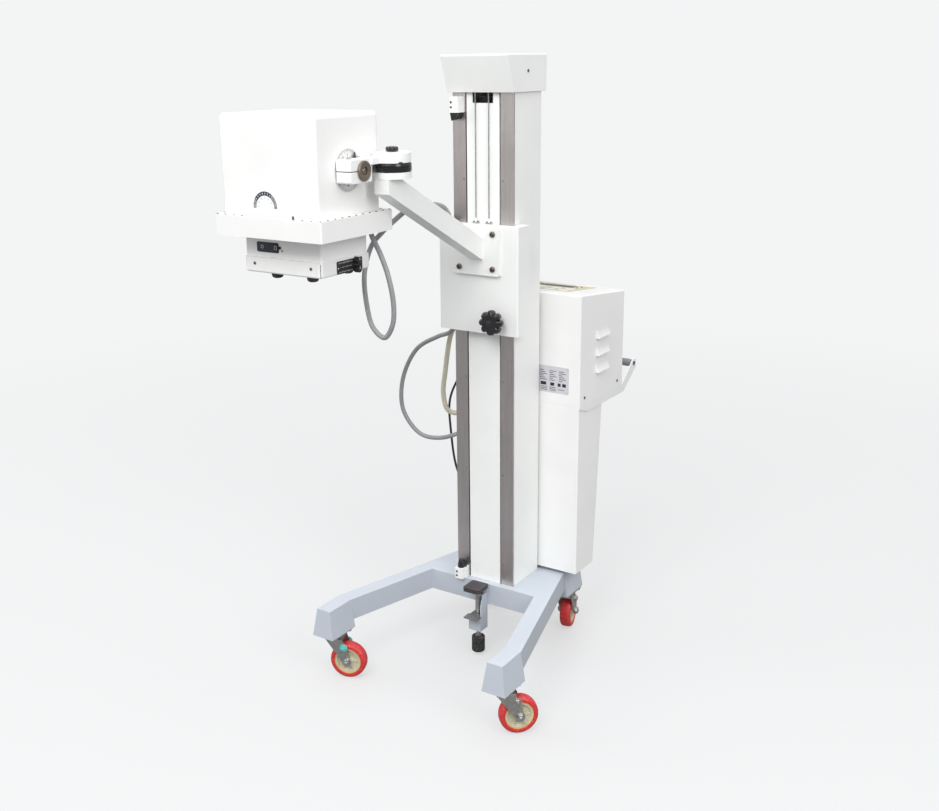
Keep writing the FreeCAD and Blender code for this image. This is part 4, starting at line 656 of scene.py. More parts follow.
def rounded_outline(width, height, corner, steps=6):
    """A rectangle's outline about the origin, with round corners."""
    if corner <= 0:
        u, v = width / 2, height / 2
        return [(-u, -v), (u, -v), (u, v), (-u, v)]
    outline = []
    for index, (side_u, side_v) in enumerate(((1, 1), (-1, 1), (-1, -1), (1, -1))):
        centre_u = side_u * (width / 2 - corner)
        centre_v = side_v * (height / 2 - corner)
        for step in range(steps + 1):
            angle = math.pi / 2 * (index + step / steps)
            outline.append((centre_u + corner * math.cos(angle), centre_v + corner * math.sin(angle)))
    return outline


def smooth_path(points, spacing):
    """Evenly spaced points on a centripetal Catmull-Rom curve through the points."""
    points = [Vector(point) for point in points]
    ends = [points[0] * 2 - points[1]] + points + [points[-1] * 2 - points[-2]]
    fine = []
    for index in range(len(points) - 1):
        a, b, c, d = ends[index : index + 4]
        ta = 0.0
        tb = ta + (b - a).length ** 0.5
        tc = tb + (c - b).length ** 0.5
        td = tc + (d - c).length ** 0.5
        for step in range(24):
            t = tb + (tc - tb) * step / 24
            ab = a * ((tb - t) / (tb - ta)) + b * ((t - ta) / (tb - ta))
            bc = b * ((tc - t) / (tc - tb)) + c * ((t - tb) / (tc - tb))
            cd = c * ((td - t) / (td - tc)) + d * ((t - tc) / (td - tc))
            abc = ab * ((tc - t) / (tc - ta)) + bc * ((t - ta) / (tc - ta))
            bcd = bc * ((td - t) / (td - tb)) + cd * ((t - tb) / (td - tb))
            fine.append(abc * ((tc - t) / (tc - tb)) + bcd * ((t - tb) / (tc - tb)))
    fine.append(points[-1])
    run = np.array([0.0] + [(q - p).length for p, q in zip(fine, fine[1:])]).cumsum()
    count = max(2, round(run[-1] / spacing) + 1)
    coordinates = np.array([tuple(point) for point in fine])
    marks = np.linspace(0, run[-1], count)
    return [Vector(row) for row in np.array([np.interp(marks, run, c) for c in coordinates.T]).T]


def frames_along(path):
    """Each point of a path with two square directions that don't twist, and its distance."""
    first, distance, result = None, 0.0, []
    for index, point in enumerate(path):
        before, after = path[max(index - 1, 0)], path[min(index + 1, len(path) - 1)]
        tangent = (after - before).normalized()
        if first is None:
            first = across(tangent)[0]
        first = (first - tangent * first.dot(tangent)).normalized()
        distance += (point - before).length if index else 0.0
        result.append((point, first, tangent.cross(first), distance))
    return result


def loose_solids(node):
    """The points of each separate solid of a CAD node."""
    mesh = frame["nodes"][node].data
    points = np.array([tuple(vertex.co) for vertex in mesh.vertices])
    keys, index = np.unique(np.round(points, 6), axis=0, return_inverse=True)
    index = index.reshape(-1)
    parent = list(range(len(keys)))

    def root(i):
        while parent[i] != i:
            parent[i] = parent[parent[i]]
            i = parent[i]
        return i

    for edge in mesh.edges:
        a, b = root(index[edge.vertices[0]]), root(index[edge.vertices[1]])
        parent[max(a, b)] = min(a, b)
    groups = {}
    for i in range(len(keys)):
        groups.setdefault(root(i), []).append(keys[i])
    return [np.array(group) for group in groups.values()]


def screws_of(node):
    """(foot of the head, outward axis, head radius, head height) of each screw in a node."""
    found = []
    for points in loose_solids(node):
        low, high = points.min(0), points.max(0)
        size = high - low
        spread = [abs(size[(k + 1) % 3] - size[(k + 2) % 3]) for k in range(3)]
        k = int(np.argmin(spread))
        centre = (low + high) / 2
        side = np.delete(points - centre, k, axis=1)
        reach = np.hypot(side[:, 0], side[:, 1])
        head = points[reach > reach.max() * 0.95][:, k]
        outward = 1.0 if head.mean() > centre[k] else -1.0
        foot = centre.copy()
        foot[k] = head.min() if outward > 0 else head.max()
        axis = Vector([outward if i == k else 0.0 for i in range(3)])
        found.append((Vector(foot), axis, reach.max(), head.max() - head.min()))
    return found


# ---- Casters --------------------------------------------------------------------------

TYRE_PROFILE = [
    (37.0, -13.0), (38.5, -15.6), (41.0, -16.0), (45.0, -15.4), (48.4, -12.4), (49.6, -8.0),
    (50.0, 0.0), (49.6, 8.0), (48.4, 12.4), (45.0, 15.4), (41.0, 16.0), (38.5, 15.6), (37.0, 13.0),
]
HUB_PROFILE = [
    (5.2, -17.6), (10.5, -17.6), (11.5, -16.6), (11.5, -9.0), (13.0, -7.6), (28.0, -7.6),
    (29.6, -9.0), (30.6, -13.0), (34.4, -13.2), (34.4, 13.2), (30.6, 13.0), (29.6, 9.0),
    (28.0, 7.6), (13.0, 7.6), (11.5, 9.0), (11.5, 16.6), (10.5, 17.6), (5.2, 17.6),
]
RING_PROFILE = [(34.5, -14.0), (36.9, -14.2), (36.9, 14.2), (34.5, 14.0)]
CAP_FINISHES = {"front_left": "turquoise", "front_right": "nickel"}


def in_metres(profile):
    return [(radius * MM, along * MM) for radius, along in profile]


def wheel(corner):
    """Red tyre, amber ring and cream hub with webs, turning on the axle bolt."""
    joint = JOINTS["wheel_spin_" + corner]
    hub_point, axle = Vector(joint["pos_m"]), Vector(joint["axis"])
    tyre = Shape()
    tyre.lathe(in_metres(TYRE_PROFILE), hub_point, axle, 96, closed=True)
    tread = tyre.piece("tyre_" + corner, "wheel_" + corner, "tyre")
    hub = Shape()
    hub.lathe(in_metres(HUB_PROFILE), hub_point, axle, 72, closed=True)
    first, second = across(axle)
    for index in range(6):
        angle = 2 * math.pi * index / 6
        spoke = first * math.cos(angle) + second * math.sin(angle)
        side = axle.cross(spoke)
        hub.slab(hub_point + spoke * 21 * MM - axle * 10.4 * MM, spoke, side, (0.020, 0.0032), 0.0208)
    hub.finish = 1
    hub.lathe(in_metres(RING_PROFILE), hub_point, axle, 96, closed=True)
    core = hub.piece("hub_" + corner, "wheel_" + corner, "hub", "hub_ring", rounding=0.4)
    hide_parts("caster_wheel_" + corner)


def caster_hardware(corner):
    """Axle nut and bolt head, the cross bolt above them, and the race seal."""
    axle_joint, pin_joint = JOINTS["wheel_spin_" + corner], JOINTS["caster_swivel_" + corner]
    axle_point, axle = Vector(axle_joint["pos_m"]), Vector(axle_joint["axis"])
    pin = Vector(pin_joint["pos_m"])
    trail = Vector((axle_point.x - pin.x, axle_point.y - pin.y, 0))
    cheek = 22 * MM
    bolt_point = Vector((pin.x, pin.y, axle_point.z)) + trail * 0.78 + Z * 43 * MM
    steel, cap = Shape(), Shape()
    for side in (-1, 1):
        out = axle * side
        steel.lathe(in_metres([(5.2, 0), (12.2, 0), (12.2, 1.6), (5.2, 1.6)]),
                    axle_point + out * cheek, out, 48, closed=True)
        steel.hexagon(axle_point + out * (cheek + 1.6 * MM), out, 17 * MM, 5.5 * MM)
        steel.lathe(in_metres([(4.6, 0), (4.9, 0.3), (4.9, 1.8), (3.9, 2.6), (0.2, 2.6)]),
                    axle_point + out * (cheek + 6.4 * MM), out, 40)
        cap.finish = 1
        cap.lathe(in_metres([(0.2, 0), (11.4, 0), (11.6, 0.8), (9.6, 1.6), (0.2, 1.7)]),
                  bolt_point + out * cheek, out, 48)
        cap.hexagon(bolt_point + out * (cheek + 1.6 * MM), out, 14 * MM, 4.5 * MM)
        cap.lathe(in_metres([(3.9, 0), (3.9, 1.4), (3.0, 2.0), (0.2, 2.0)]),
                  bolt_point + out * (cheek + 5.8 * MM), out, 32)
    steel.piece("axle_nuts_" + corner, "caster_" + corner, "nickel", rounding=0.25)
    cap.piece("cross_bolt_" + corner, "caster_" + corner,
              "zinc", CAP_FINISHES.get(corner, "nickel"), rounding=0.25)
    plate_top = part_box("caster_plates")[1].z
    seal = Shape()
    seal.lathe(in_metres([(21.2, -16), (25, -15), (27.6, -12.4), (27.6, -11.2), (24, -11.2), (21.2, -13)]),
               Vector((pin.x, pin.y, plate_top)), Z, 64, closed=True)
    seal.piece("race_seal_" + corner, "caster_" + corner, "zinc")
    plate = Shape()
    for dx in (-1, 1):
        for dy in (-1, 1):
            spot = Vector((pin.x + dx * 23 * MM, pin.y + dy * 31 * MM, plate_top - 5 * MM))
            plate.hexagon(spot, -Z, 11 * MM, 4 * MM)
    plate.piece("plate_bolts_" + corner, "stand", "nickel", rounding=0.25)


def casters():
    for corner in ("front_left", "front_right", "rear_left", "rear_right"):
        wheel(corner)
        caster_hardware(corner)


# ---- Screws ---------------------------------------------------------------------------


def fasteners(node, body, recess, finish):
    """Detailed heads in place of a node's plain screws; the shanks stay inside their hosts."""
    heads = Shape()
    for index, (foot, axis, radius, height) in enumerate(screws_of(node)):
        heads.screw_head(foot, axis, radius, height, recess, turn=0.7 * index)
    item = heads.piece(node + "_heads", body, finish, sharp=50)
    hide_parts(node)


# ---- Knobs ----------------------------------------------------------------------------


def lobed(count, depth):
    """Radius scale of a knob with round lobes and narrow valleys."""
    return lambda angle: 1 - depth * (1 - abs(math.cos(count * angle / 2))) ** 1.4


def star_knob():
    """Eight-lobed lift lock knob with a moulded plug, a neck and a steel stem."""
    low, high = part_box("lift_lock_knob")
    centre = Vector(((low.x + high.x) / 2, low.y, (low.z + high.z) / 2))
    radius = (high.z - low.z) / 2
    depth = 24 * MM
    knob = Shape()
    profile = [
        (radius * 0.30, 0.6 * MM), (radius * 0.52, 0.2 * MM), (radius * 0.80, 0.6 * MM),
        (radius * 0.93, 3.0 * MM), (radius, 8 * MM), (radius, depth - 6 * MM),
        (radius * 0.95, depth - 1.5 * MM), (radius * 0.84, depth), (radius * 0.36, depth),
    ]
    knob.lathe(profile, centre, Y, 192, lobes=lobed(8, 0.26))
    knob.lathe(in_metres([(12, 23), (11, 26), (11, 40.5), (0.5, 40.5)]), centre, Y, 48)
    knob.finish = 1
    knob.lathe(in_metres([(0.2, -0.6), (6.5, -0.4), (8.2, 0.4), (8.2, 3)]), centre, Y, 48)
    knob.finish = 2
    tip = high.y - low.y
    knob.lathe([(5 * MM, 38 * MM), (5 * MM, tip - 1 * MM), (4 * MM, tip)], centre, Y, 40)
    item = knob.piece("star_knob", "lift_lock_knob", "black_gloss", "black_satin", "nickel")
    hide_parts("lift_lock_knob")


def pan_knob():
    """Small seven-lobed knob on top of the swivel."""
    low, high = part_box("pan_lock_knob")
    yoke_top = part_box("swivel_yoke")[1].z
    radius = (high.x - low.x) / 2
    centre = Vector(((low.x + high.x) / 2, (low.y + high.y) / 2, yoke_top + 1 * MM))
    tall = high.z - centre.z
    knob = Shape()
    profile = [
        (radius * 0.5, 0), (radius * 0.92, 0), (radius, 1.6 * MM), (radius, tall - 3 * MM),
        (radius * 0.93, tall - 1.0 * MM), (radius * 0.78, tall), (radius * 0.4, tall),
        (radius * 0.34, tall - 0.6 * MM), (0.2 * MM, tall - 0.6 * MM),
    ]
    knob.lathe(profile, centre, Z, 140, lobes=lobed(7, 0.24))
    knob.lathe([(radius * 0.4, -1 * MM), (radius * 0.4, 0.5 * MM)], centre, Z, 40)
    item = knob.piece("pan_knob", "pan_lock_knob", "black_gloss")
    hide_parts("pan_lock_knob")


def field_knobs():
    """Two knurled knobs on the collimator's side, each with a white index line."""
    for level in ("upper", "lower"):
        node = level + "_field_knob"
        low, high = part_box(node)
        radius = (high.z - low.z) / 2
        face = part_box("collimator_cover")[1].x + 0.5 * MM
        long = high.x - face
        centre = Vector((face, (low.y + high.y) / 2, (low.z + high.z) / 2))

        def knurl(angle):
            return 1 - 0.05 * abs(math.sin(15 * angle))

        knob = Shape()
        profile = [
            (radius * 0.55, 0), (radius, 0.4 * MM), (radius, long - 1.6 * MM),
            (radius * 0.93, long - 0.4 * MM), (radius * 0.80, long), (radius * 0.2, long - 0.4 * MM),
        ]
        knob.lathe(profile, centre, X, 180, lobes=knurl)
        knob.lathe(in_metres([(2.4, -5), (2.4, 0.5)]), centre, X, 24)
        knob.finish = 1
        knob.slab(centre + X * (long - 0.3 * MM) + Z * radius * 0.45, Y, Z, (0.0012, radius * 0.8), 0.0004)
        item = knob.piece("knurled_knob_" + level, node, "black_satin", "white_film")
        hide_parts(node)


# ---- Swivel and trunnion --------------------------------------------------------------


def numerals(text, height, place, right, up, depth):
    """Points and faces of raised digits centred on place."""
    curve = bpy.data.curves.new("numerals", "FONT")
    curve.body = text
    curve.size = height * 1.4
    curve.align_x = "CENTER"
    curve.align_y = "CENTER"
    curve.resolution_u = 3
    curve.extrude = depth / 2
    holder = bpy.data.objects.new("numerals", curve)
    mesh = bpy.data.meshes.new_from_object(holder)
    out = right.cross(up)
    points = [
        place + right * vertex.co.x + up * vertex.co.y + out * (vertex.co.z + depth / 2)
        for vertex in mesh.vertices
    ]
    faces = [tuple(polygon.vertices) for polygon in mesh.polygons]
    bpy.data.objects.remove(holder)
    bpy.data.curves.remove(curve)
    bpy.data.meshes.remove(mesh)
    return points, faces


def tilt_dial():
    """White dial on the trunnion flange: a tick every 5 degrees, numbers every 30."""
    low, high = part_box("trunnion_shaft")
    radius = (high.z - low.z) / 2
    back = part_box("head_housing")[1].x
    face = back + 1.5 * MM
    dial = Shape()
    rim = [(radius * 0.2, 0), (radius, 0), (radius, 1.1 * MM), (radius - 0.5 * MM, 1.5 * MM),
           (radius * 0.2, 1.5 * MM)]
    dial.lathe(rim, Vector((back, TILT_AXIS.y, TILT_AXIS.z)), X, 128)
    plate = dial.piece("tilt_dial", "head", "white_film")
    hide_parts("trunnion_shaft")
    ink = Shape()
    for degrees in range(0, 360, 5):
        angle = math.radians(degrees)
        spoke = Y * math.sin(angle) + Z * math.cos(angle)
        side = Y * math.cos(angle) - Z * math.sin(angle)
        long = 0.17 if degrees % 15 == 0 else 0.10
        mid = Vector((face, TILT_AXIS.y, TILT_AXIS.z)) + spoke * radius * (0.97 - long / 2)
        ink.slab(mid, side, spoke, (1.0 * MM, radius * long), 0.12 * MM)
        if degrees % 30 == 0:
            label = str(min(degrees, 360 - degrees) if degrees != 180 else 180)
            spot = Vector((face, TILT_AXIS.y, TILT_AXIS.z)) + spoke * radius * 0.68
            ink.add(*numerals(label, 5.2 * MM, spot, side, spoke, 0.12 * MM))
    ink.piece("tilt_dial_marks", "head", "grey_ink")


def trunnion():
    """Shaft and turned end disc with a recessed socket screw."""
    low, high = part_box("trunnion_shaft")
    clamp_face = high.x - 5.3 * MM
    axis_point = Vector((clamp_face, TILT_AXIS.y, TILT_AXIS.z))
    disc = Shape()
    disc.lathe(
        in_metres([
            (0.3, 0.3), (21.8, 0.3), (22.4, 0.9), (22.4, 4.4), (21.7, 5.3), (20.2, 5.3),
            (19.7, 4.9), (19.2, 5.3), (10.5, 5.0), (9.2, 4.6), (8.8, 1.4), (0.3, 1.4),
        ]),
        axis_point, X, 128,
    )
    disc.finish = 1
    shaft_start = low.x - clamp_face
    shaft = [(0.3 * MM, shaft_start), (12 * MM, shaft_start), (12 * MM, -0.2 * MM), (0.3 * MM, -0.2 * MM)]
    disc.lathe(shaft, axis_point, X, 64)
    disc.finish = 2
    disc.screw_head(axis_point + X * 1.4 * MM, X, 6.2 * MM, 3.4 * MM, "hex")
    disc.piece("end_disc", "head", "bronze", "nickel", "bronze")


def swivel_details():
    """Pointer plate for the dial, the ring's index clip and the clamp's pinch screw."""
    low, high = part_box("swivel_yoke")
    clamp_left = low.x
    top = TILT_AXIS.z + 26 * MM
    spot = Vector((clamp_left + 4 * MM, TILT_AXIS.y + 17 * MM, top - 0.5 * MM))
    pointer = Shape()
    pointer.prism([(-0.0062, 0), (0.0062, 0), (0.0008, 0.0135), (-0.0008, 0.0135)], spot, Y, Z, 0.0012)
    pointer.slab(spot + Y * 11 * MM + Z * 0.9 * MM, Y, Z, (0.016, 0.0014), 0.0012)
    pointer.piece("dial_pointer", "swivel", "black_gloss", rounding=0.15)
    ring_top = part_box("friction_ring")[1].z
    centre = Vector(JOINTS["head_pan"]["pos_m"])
    reach = (high.x - centre.x) + 0.4 * MM
    clip = Shape()
    angle = math.radians(-28)
    out = Vector((math.cos(angle), math.sin(angle), 0))
    side = Z.cross(out)
    clip.slab(Vector((centre.x, centre.y, ring_top + 2.2 * MM)) + out * (reach - 1 * MM), side, Z,
              (0.009, 0.003), 0.0022, 0.0006)
    clip.piece("pan_index_clip", "swivel", "dark_screw", rounding=0.3)
    pinch = Shape()
    for dy in (-24,):
        foot = Vector((clamp_left + 20 * MM, TILT_AXIS.y + dy * MM, top))
        pinch.lathe(in_metres([(0.3, -0.3), (5.5, -0.3), (5.5, 1), (0.3, 1)]), foot, Z, 40)
        pinch.screw_head(foot + Z * 1 * MM, Z, 4.6 * MM, 4.4 * MM, "hex")
    pinch.piece("pinch_screw", "swivel", "nickel", sharp=50)


def ring_detail():
    """Friction ring with chamfered rims and one fine groove near its top."""
    low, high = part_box("friction_ring")
    radius = (high.x - low.x) / 2
    tall = high.z - low.z
    centre = Vector((middle("friction_ring").x, middle("friction_ring").y, low.z))
    ring = Shape()
    profile = [
        (radius - 24 * MM, 0.1 * MM), (radius - 3 * MM, 0.1 * MM), (radius - 0.8 * MM, 1.2 * MM),
        (radius, 3.6 * MM), (radius, tall - 8.6 * MM), (radius - 0.9 * MM, tall - 8.2 * MM),
        (radius - 0.9 * MM, tall - 7.4 * MM), (radius, tall - 7 * MM), (radius, tall - 3.6 * MM),
        (radius - 0.8 * MM, tall - 1.2 * MM), (radius - 3 * MM, tall - 0.1 * MM),
        (radius - 24 * MM, tall - 0.1 * MM),
    ]
    ring.lathe(profile, centre, Z, 128, closed=True)
    item = ring.piece("swivel_ring", "carriage", "black_gloss")
    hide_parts("friction_ring")


# ---- Ropes and cables -----------------------------------------------------------------

ROPE_RADIUS = 1.5 * MM
ROPE_LAY = 14 * MM
CABLE_RADIUS = 6 * MM
CONDUIT_RADIUS = 7 * MM
CONDUIT_PITCH = 4.4 * MM

# Centre lines, in mm from the stand's reference point.
HEAD_CABLE = [
    (-74, -383, 1275), (-72, -384, 1230), (-42, -388, 1180), (-21, -390, 1134),
    (-7, -390, 1065), (-12, -390, 1015), (-36, -390, 983), (-70, -388, 1002),
    (-107, -364, 1055), (-133, -334, 1121), (-128, -312, 1180), (-81, -330, 1220),
    (-48, -326, 1249), (-34, -290, 1272), (-68, -170, 1263), (-105, -66, 1257),
    (-101, -34, 1246), (-94, -22, 1226), (-93, -20, 1209),
]
CARRIAGE_CABLE = [
    (-104, 12, 958), (-104, 14, 930), (-122, 20, 904), (-168, 27, 884), (-243, 30, 838),
    (-294, 30, 741), (-294, 30, 652), (-238, 30, 592), (-168, 32, 590), (-120, 60, 606),
    (-108, 96, 616), (-106, 122, 622), (-106, 138, 622),
]
SPIRAL_CONDUIT = [
    (-109, 42, 958), (-121, 45, 925), (-141, 46, 880), (-158, 46, 786), (-166, 46, 714),
    (-150, 46, 670), (-122, 60, 664), (-108, 96, 684), (-106, 138, 690),
]
MAINS_CABLE = [
    (-122, 120, 800), (-142, 82, 751), (-164, 75, 690), (-162, 75, 601), (-143, 78, 484),
    (-124, 112, 420), (-112, 138, 400),
]


def strands(distance, angle):
    """Radius scale of a rope laid from six strands."""
    return 1 - 0.09 * (1 + math.cos(6 * (angle - 2 * math.pi * distance / ROPE_LAY)))


def spiral_ribs(distance, angle):
    """Radius scale of a conduit with one spiral rib."""
    wave = 0.5 + 0.5 * math.cos(2 * math.pi * distance / CONDUIT_PITCH - angle)
    return 0.93 + 0.07 * wave**0.6


def line(start, end, spacing):
    count = max(2, round((end - start).length / spacing) + 1)
    return [start.lerp(end, index / (count - 1)) for index in range(count)]


def ropes():
    """Laid steel ropes: carriage to pulley, over it, and down to the counterweight."""
    low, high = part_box("wire_ropes")
    pulley = Vector(JOINTS["pulley_spin"]["pos_m"])
    reach = high.z - ROPE_RADIUS - pulley.z
    cover_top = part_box("carriage_cover")[1].z - 1 * MM
    weight_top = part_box("counterweight")[1].z - 1 * MM
    front, crown, rear = Shape(), Shape(), Shape()
    for x in (low.x + ROPE_RADIUS, high.x - ROPE_RADIUS):
        hub = Vector((x, pulley.y, pulley.z))
        arc = []
        for step in range(61):
            angle = math.pi * step / 60
            arc.append(hub + (-Y * math.cos(angle) + Z * math.sin(angle)) * reach)
        front_foot = Vector((x, arc[0].y, cover_top))
        rear_foot = Vector((x, arc[-1].y, weight_top))
        front.tube(line(front_foot, arc[0], 1.6 * MM), ROPE_RADIUS, 18, strands)
        crown.tube(arc, ROPE_RADIUS, 18, strands)
        rear.tube(line(arc[-1], rear_foot, 1.6 * MM), ROPE_RADIUS, 18, strands)
    shown = front.piece("ropes_front", None, "rope_steel", sharp=80)
    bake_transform(shown)
    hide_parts("wire_ropes")
    crown.piece("ropes_over_pulley", "stand", "rope_steel", sharp=80)
    hidden = rear.piece("ropes_rear", None, "rope_steel", sharp=80)
    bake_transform(hidden)


def rope_clamps():
    """Clamp bar with two screws at the foot of each rope, on the carriage's top."""
    low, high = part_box("wire_ropes")
    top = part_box("carriage_cover")[1].z - 14 * MM
    bars = Shape()
    for x in (low.x + ROPE_RADIUS, high.x - ROPE_RADIUS):
        spot = Vector((x, low.y + ROPE_RADIUS, top))
        bars.finish = 0
        bars.slab(spot, X, Y, (0.019, 0.008), 0.0035, 0.003)
        bars.finish = 1
        for side in (-1, 1):
            bars.screw_head(spot + X * side * 6 * MM + Z * 3.5 * MM, Z, 2.7 * MM, 2.4 * MM, "cross")
    bars.piece("rope_clamps", "carriage", "zinc", "dark_screw", sharp=50)


def cables():
    """Grey cables, the beige spiral conduit and the black mains lead."""
    path = smooth_path([stand(*point) for point in HEAD_CABLE], 4 * MM)
    lowest = min(range(len(path)), key=lambda index: path[index].z)
    hanging, rising = Shape(), Shape()
    hanging.tube(path[: lowest + 1], CABLE_RADIUS, 28)
    rising.tube(path[lowest:], CABLE_RADIUS, 28)
    drop = hanging.piece("head_cable_drop", None, "cable")
    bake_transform(drop)
    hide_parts("head_cable")
    run = rising.piece("head_cable_run", None, "cable")
    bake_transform(run)

    loop = Shape()
    loop.tube(smooth_path([stand(*point) for point in CARRIAGE_CABLE], 4 * MM), CABLE_RADIUS, 28)
    loop = loop.piece("cable_loop", None, "cable")
    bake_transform(loop)
    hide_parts("carriage_cable")

    ribbed = Shape()
    path = smooth_path([stand(*point) for point in SPIRAL_CONDUIT], 0.7 * MM)
    ribbed.tube(path, CONDUIT_RADIUS, 24, spiral_ribs)
    ribbed = ribbed.piece("conduit", None, "conduit", sharp=80)
    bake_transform(ribbed)
    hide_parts("spiral_conduit")

    mains = Shape()
    mains.tube(smooth_path([stand(*point) for point in MAINS_CABLE], 4 * MM), 3.2 * MM, 20)
    mains.piece("mains_lead", "stand", "black_cable")


def gland(shape, place, axis, bore):
    """A cable gland: a hexagon, a dome nut and a rubber lip around the bore."""
    shape.finish = 0
    shape.hexagon(place, axis, 2 * bore + 9 * MM, 4.5 * MM)
    dome = [
        (bore + 3.6 * MM, 4 * MM), (bore + 3.6 * MM, 8 * MM), (bore + 2.6 * MM, 11 * MM),
        (bore + 1.2 * MM, 12.4 * MM), (bore, 12.4 * MM), (bore, 4 * MM),
    ]
    shape.lathe(dome, place, axis, 48, closed=True)
    shape.finish = 1
    lip = [(bore + 1.4 * MM, 11 * MM), (bore + 1.4 * MM, 13.6 * MM), (bore * 0.97, 13.8 * MM), (bore * 0.97, 11 * MM)]
    shape.lathe(lip, place, axis, 48, closed=True)


def glands():
    """Where the cables enter the carriage's top and the cabinet's front."""
    top = Shape()
    gland(top, stand(*HEAD_CABLE[-1]) - Z * 1 * MM, Z, CABLE_RADIUS)
    top.piece("carriage_gland", "carriage", "black_satin", "rubber", rounding=0.2)
    front = Shape()
    gland(front, stand(*CARRIAGE_CABLE[-1]) + Y * 1 * MM, -Y, CABLE_RADIUS)
    gland(front, stand(*SPIRAL_CONDUIT[-1]) + Y * 1 * MM, -Y, CONDUIT_RADIUS)
    front.piece("cabinet_glands", "stand", "black_satin", "rubber", rounding=0.2)


# ---- Head and collimator details ------------------------------------------------------


def ring_sector(shape, centre, right, up, radii, degrees, depth):
    """A flat band of a ring between two angles, counted from right towards up."""
    start, end = (math.radians(value) for value in degrees)
    steps = max(1, round(abs(end - start) / math.radians(4)))
    angles = [start + (end - start) * step / steps for step in range(steps + 1)]
    outline = [(radii[1] * math.cos(a), radii[1] * math.sin(a)) for a in angles]
    outline += [(radii[0] * math.cos(a), radii[0] * math.sin(a)) for a in reversed(angles)]
    shape.prism(outline, centre, right, up, depth)


def tilt_gauge():
    """Printed half-ring angle gauge on the housing's front, with faint numbers inside."""
    low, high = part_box("head_housing")
    centre = Vector((high.x - 148 * MM, low.y - 0.05 * MM, low.z + 20 * MM))
    gauge = Shape()
    ring_sector(gauge, centre, X, Z, (0.0262, 0.0350), (52, 150), 0.0003)
    for degrees in range(-2, 184, 5):
        if 52 <= degrees <= 150:
            continue
        ring_sector(gauge, centre, X, Z, (0.0262, 0.0350), (degrees - 1.4, degrees + 1.4), 0.0003)
    gauge.finish = 1
    for degrees in range(60, 146, 14):
        ring_sector(gauge, centre, X, Z, (0.0289, 0.0323), (degrees - 1.6, degrees + 1.6), 0.0005)
    gauge.finish = 2
    for degrees in (0, 30, 60, 90, 120, 150, 180):
        angle = math.radians(degrees)
        spoke = X * math.cos(angle) + Z * math.sin(angle)
        label = str(abs(90 - degrees))
        gauge.add(*numerals(label, 4.4 * MM, centre + spoke * 20.5 * MM, X, Z, 0.0003))
    gauge.piece("tilt_gauge", "head", "dark_film", "white_film", "faint_ink")


def skirt_pad():
    """Raised pad on the skirt below the gauge, with a longer screw at its right end."""
    low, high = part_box("head_skirt")
    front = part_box("head_housing")[0].y
    left, right = stand(-247, 0, 0).x, stand(-114, 0, 0).x
    pad = Shape()
    centre = Vector(((left + right) / 2, (low.y + front) / 2, high.z - 0.2 * MM))
    pad.slab(centre, X, Y, (right - left, front - low.y - 0.6 * MM), 0.0074, 0.003)
    pad.finish = 1
    post = Vector((right + 6 * MM, low.y + 7 * MM, high.z))
    pad.lathe(in_metres([(0.3, 0), (2.2, 0), (2.2, 5.5), (0.3, 5.5)]), post, Z, 32)
    pad.screw_head(post + Z * 5.5 * MM, Z, 2.9 * MM, 2.2 * MM, "cross")
    pad.piece("skirt_pad", "head", "brighter_lit_paint", "dark_screw", rounding=0.8)


def switch_plate():
    """Navy membrane plate around the lamp button, with two sensors at its right."""
    low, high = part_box("collimator_body")
    button_low, button_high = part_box("lamp_switch")
    button = (button_low + button_high) / 2
    left, right = button.x - 58 * MM, button.x + 8 * MM
    plate = Shape()
    centre = Vector(((left + right) / 2, low.y + 0.05 * MM, button.z - 0.5 * MM))
    plate.slab(centre, X, Z, (right - left, 0.0235), 0.0009, 0.004)
    plate.finish = 1
    mark = Vector((left + 16 * MM, low.y - 0.9 * MM, button.z))
    square_mark(plate, mark, 6.4 * MM)
    plate.finish = 2
    plate.lathe(in_metres([(0.3, 0), (3.4, 0), (3.4, 1.6), (2.6, 2.4), (0.3, 2.6)]),
                Vector((right + 3.4 * MM, low.y, button.z + 0.5 * MM)), -Y, 32)
    plate.finish = 3
    plate.lathe(in_metres([(0.3, 0), (2.3, 0), (2.3, 0.9), (1.6, 1.5), (0.3, 1.6)]),
                Vector((right + 10 * MM, low.y, button.z - 6 * MM)), -Y, 28)
    plate.piece("switch_plate", "head", "dark_film", "white_film", "black_gloss", "rope_steel",
                rounding=0.2)
    symbol = Shape()
    square_mark(symbol, Vector((button.x, button_low.y - 0.02 * MM, button.z)), 6.4 * MM)
    symbol.finish = 1
    ring = [(5.6 * MM, 0), (6.1 * MM, 0), (6.1 * MM, 0.12 * MM), (5.6 * MM, 0.12 * MM)]
    symbol.lathe(ring, Vector((button.x, button_low.y, button.z)), -Y, 48, closed=True)
    symbol.piece("lamp_button_symbol", "lamp_switch", "white_film", "grey_ink")


def square_mark(shape, centre, size):
    """A thin printed square outline facing the front."""
    for side in (-1, 1):
        shape.slab(centre + X * side * size / 2, X, Z, (0.0009, size), 0.00012)
        shape.slab(centre + Z * side * size / 2, X, Z, (size + 0.0009, 0.0009), 0.00012)


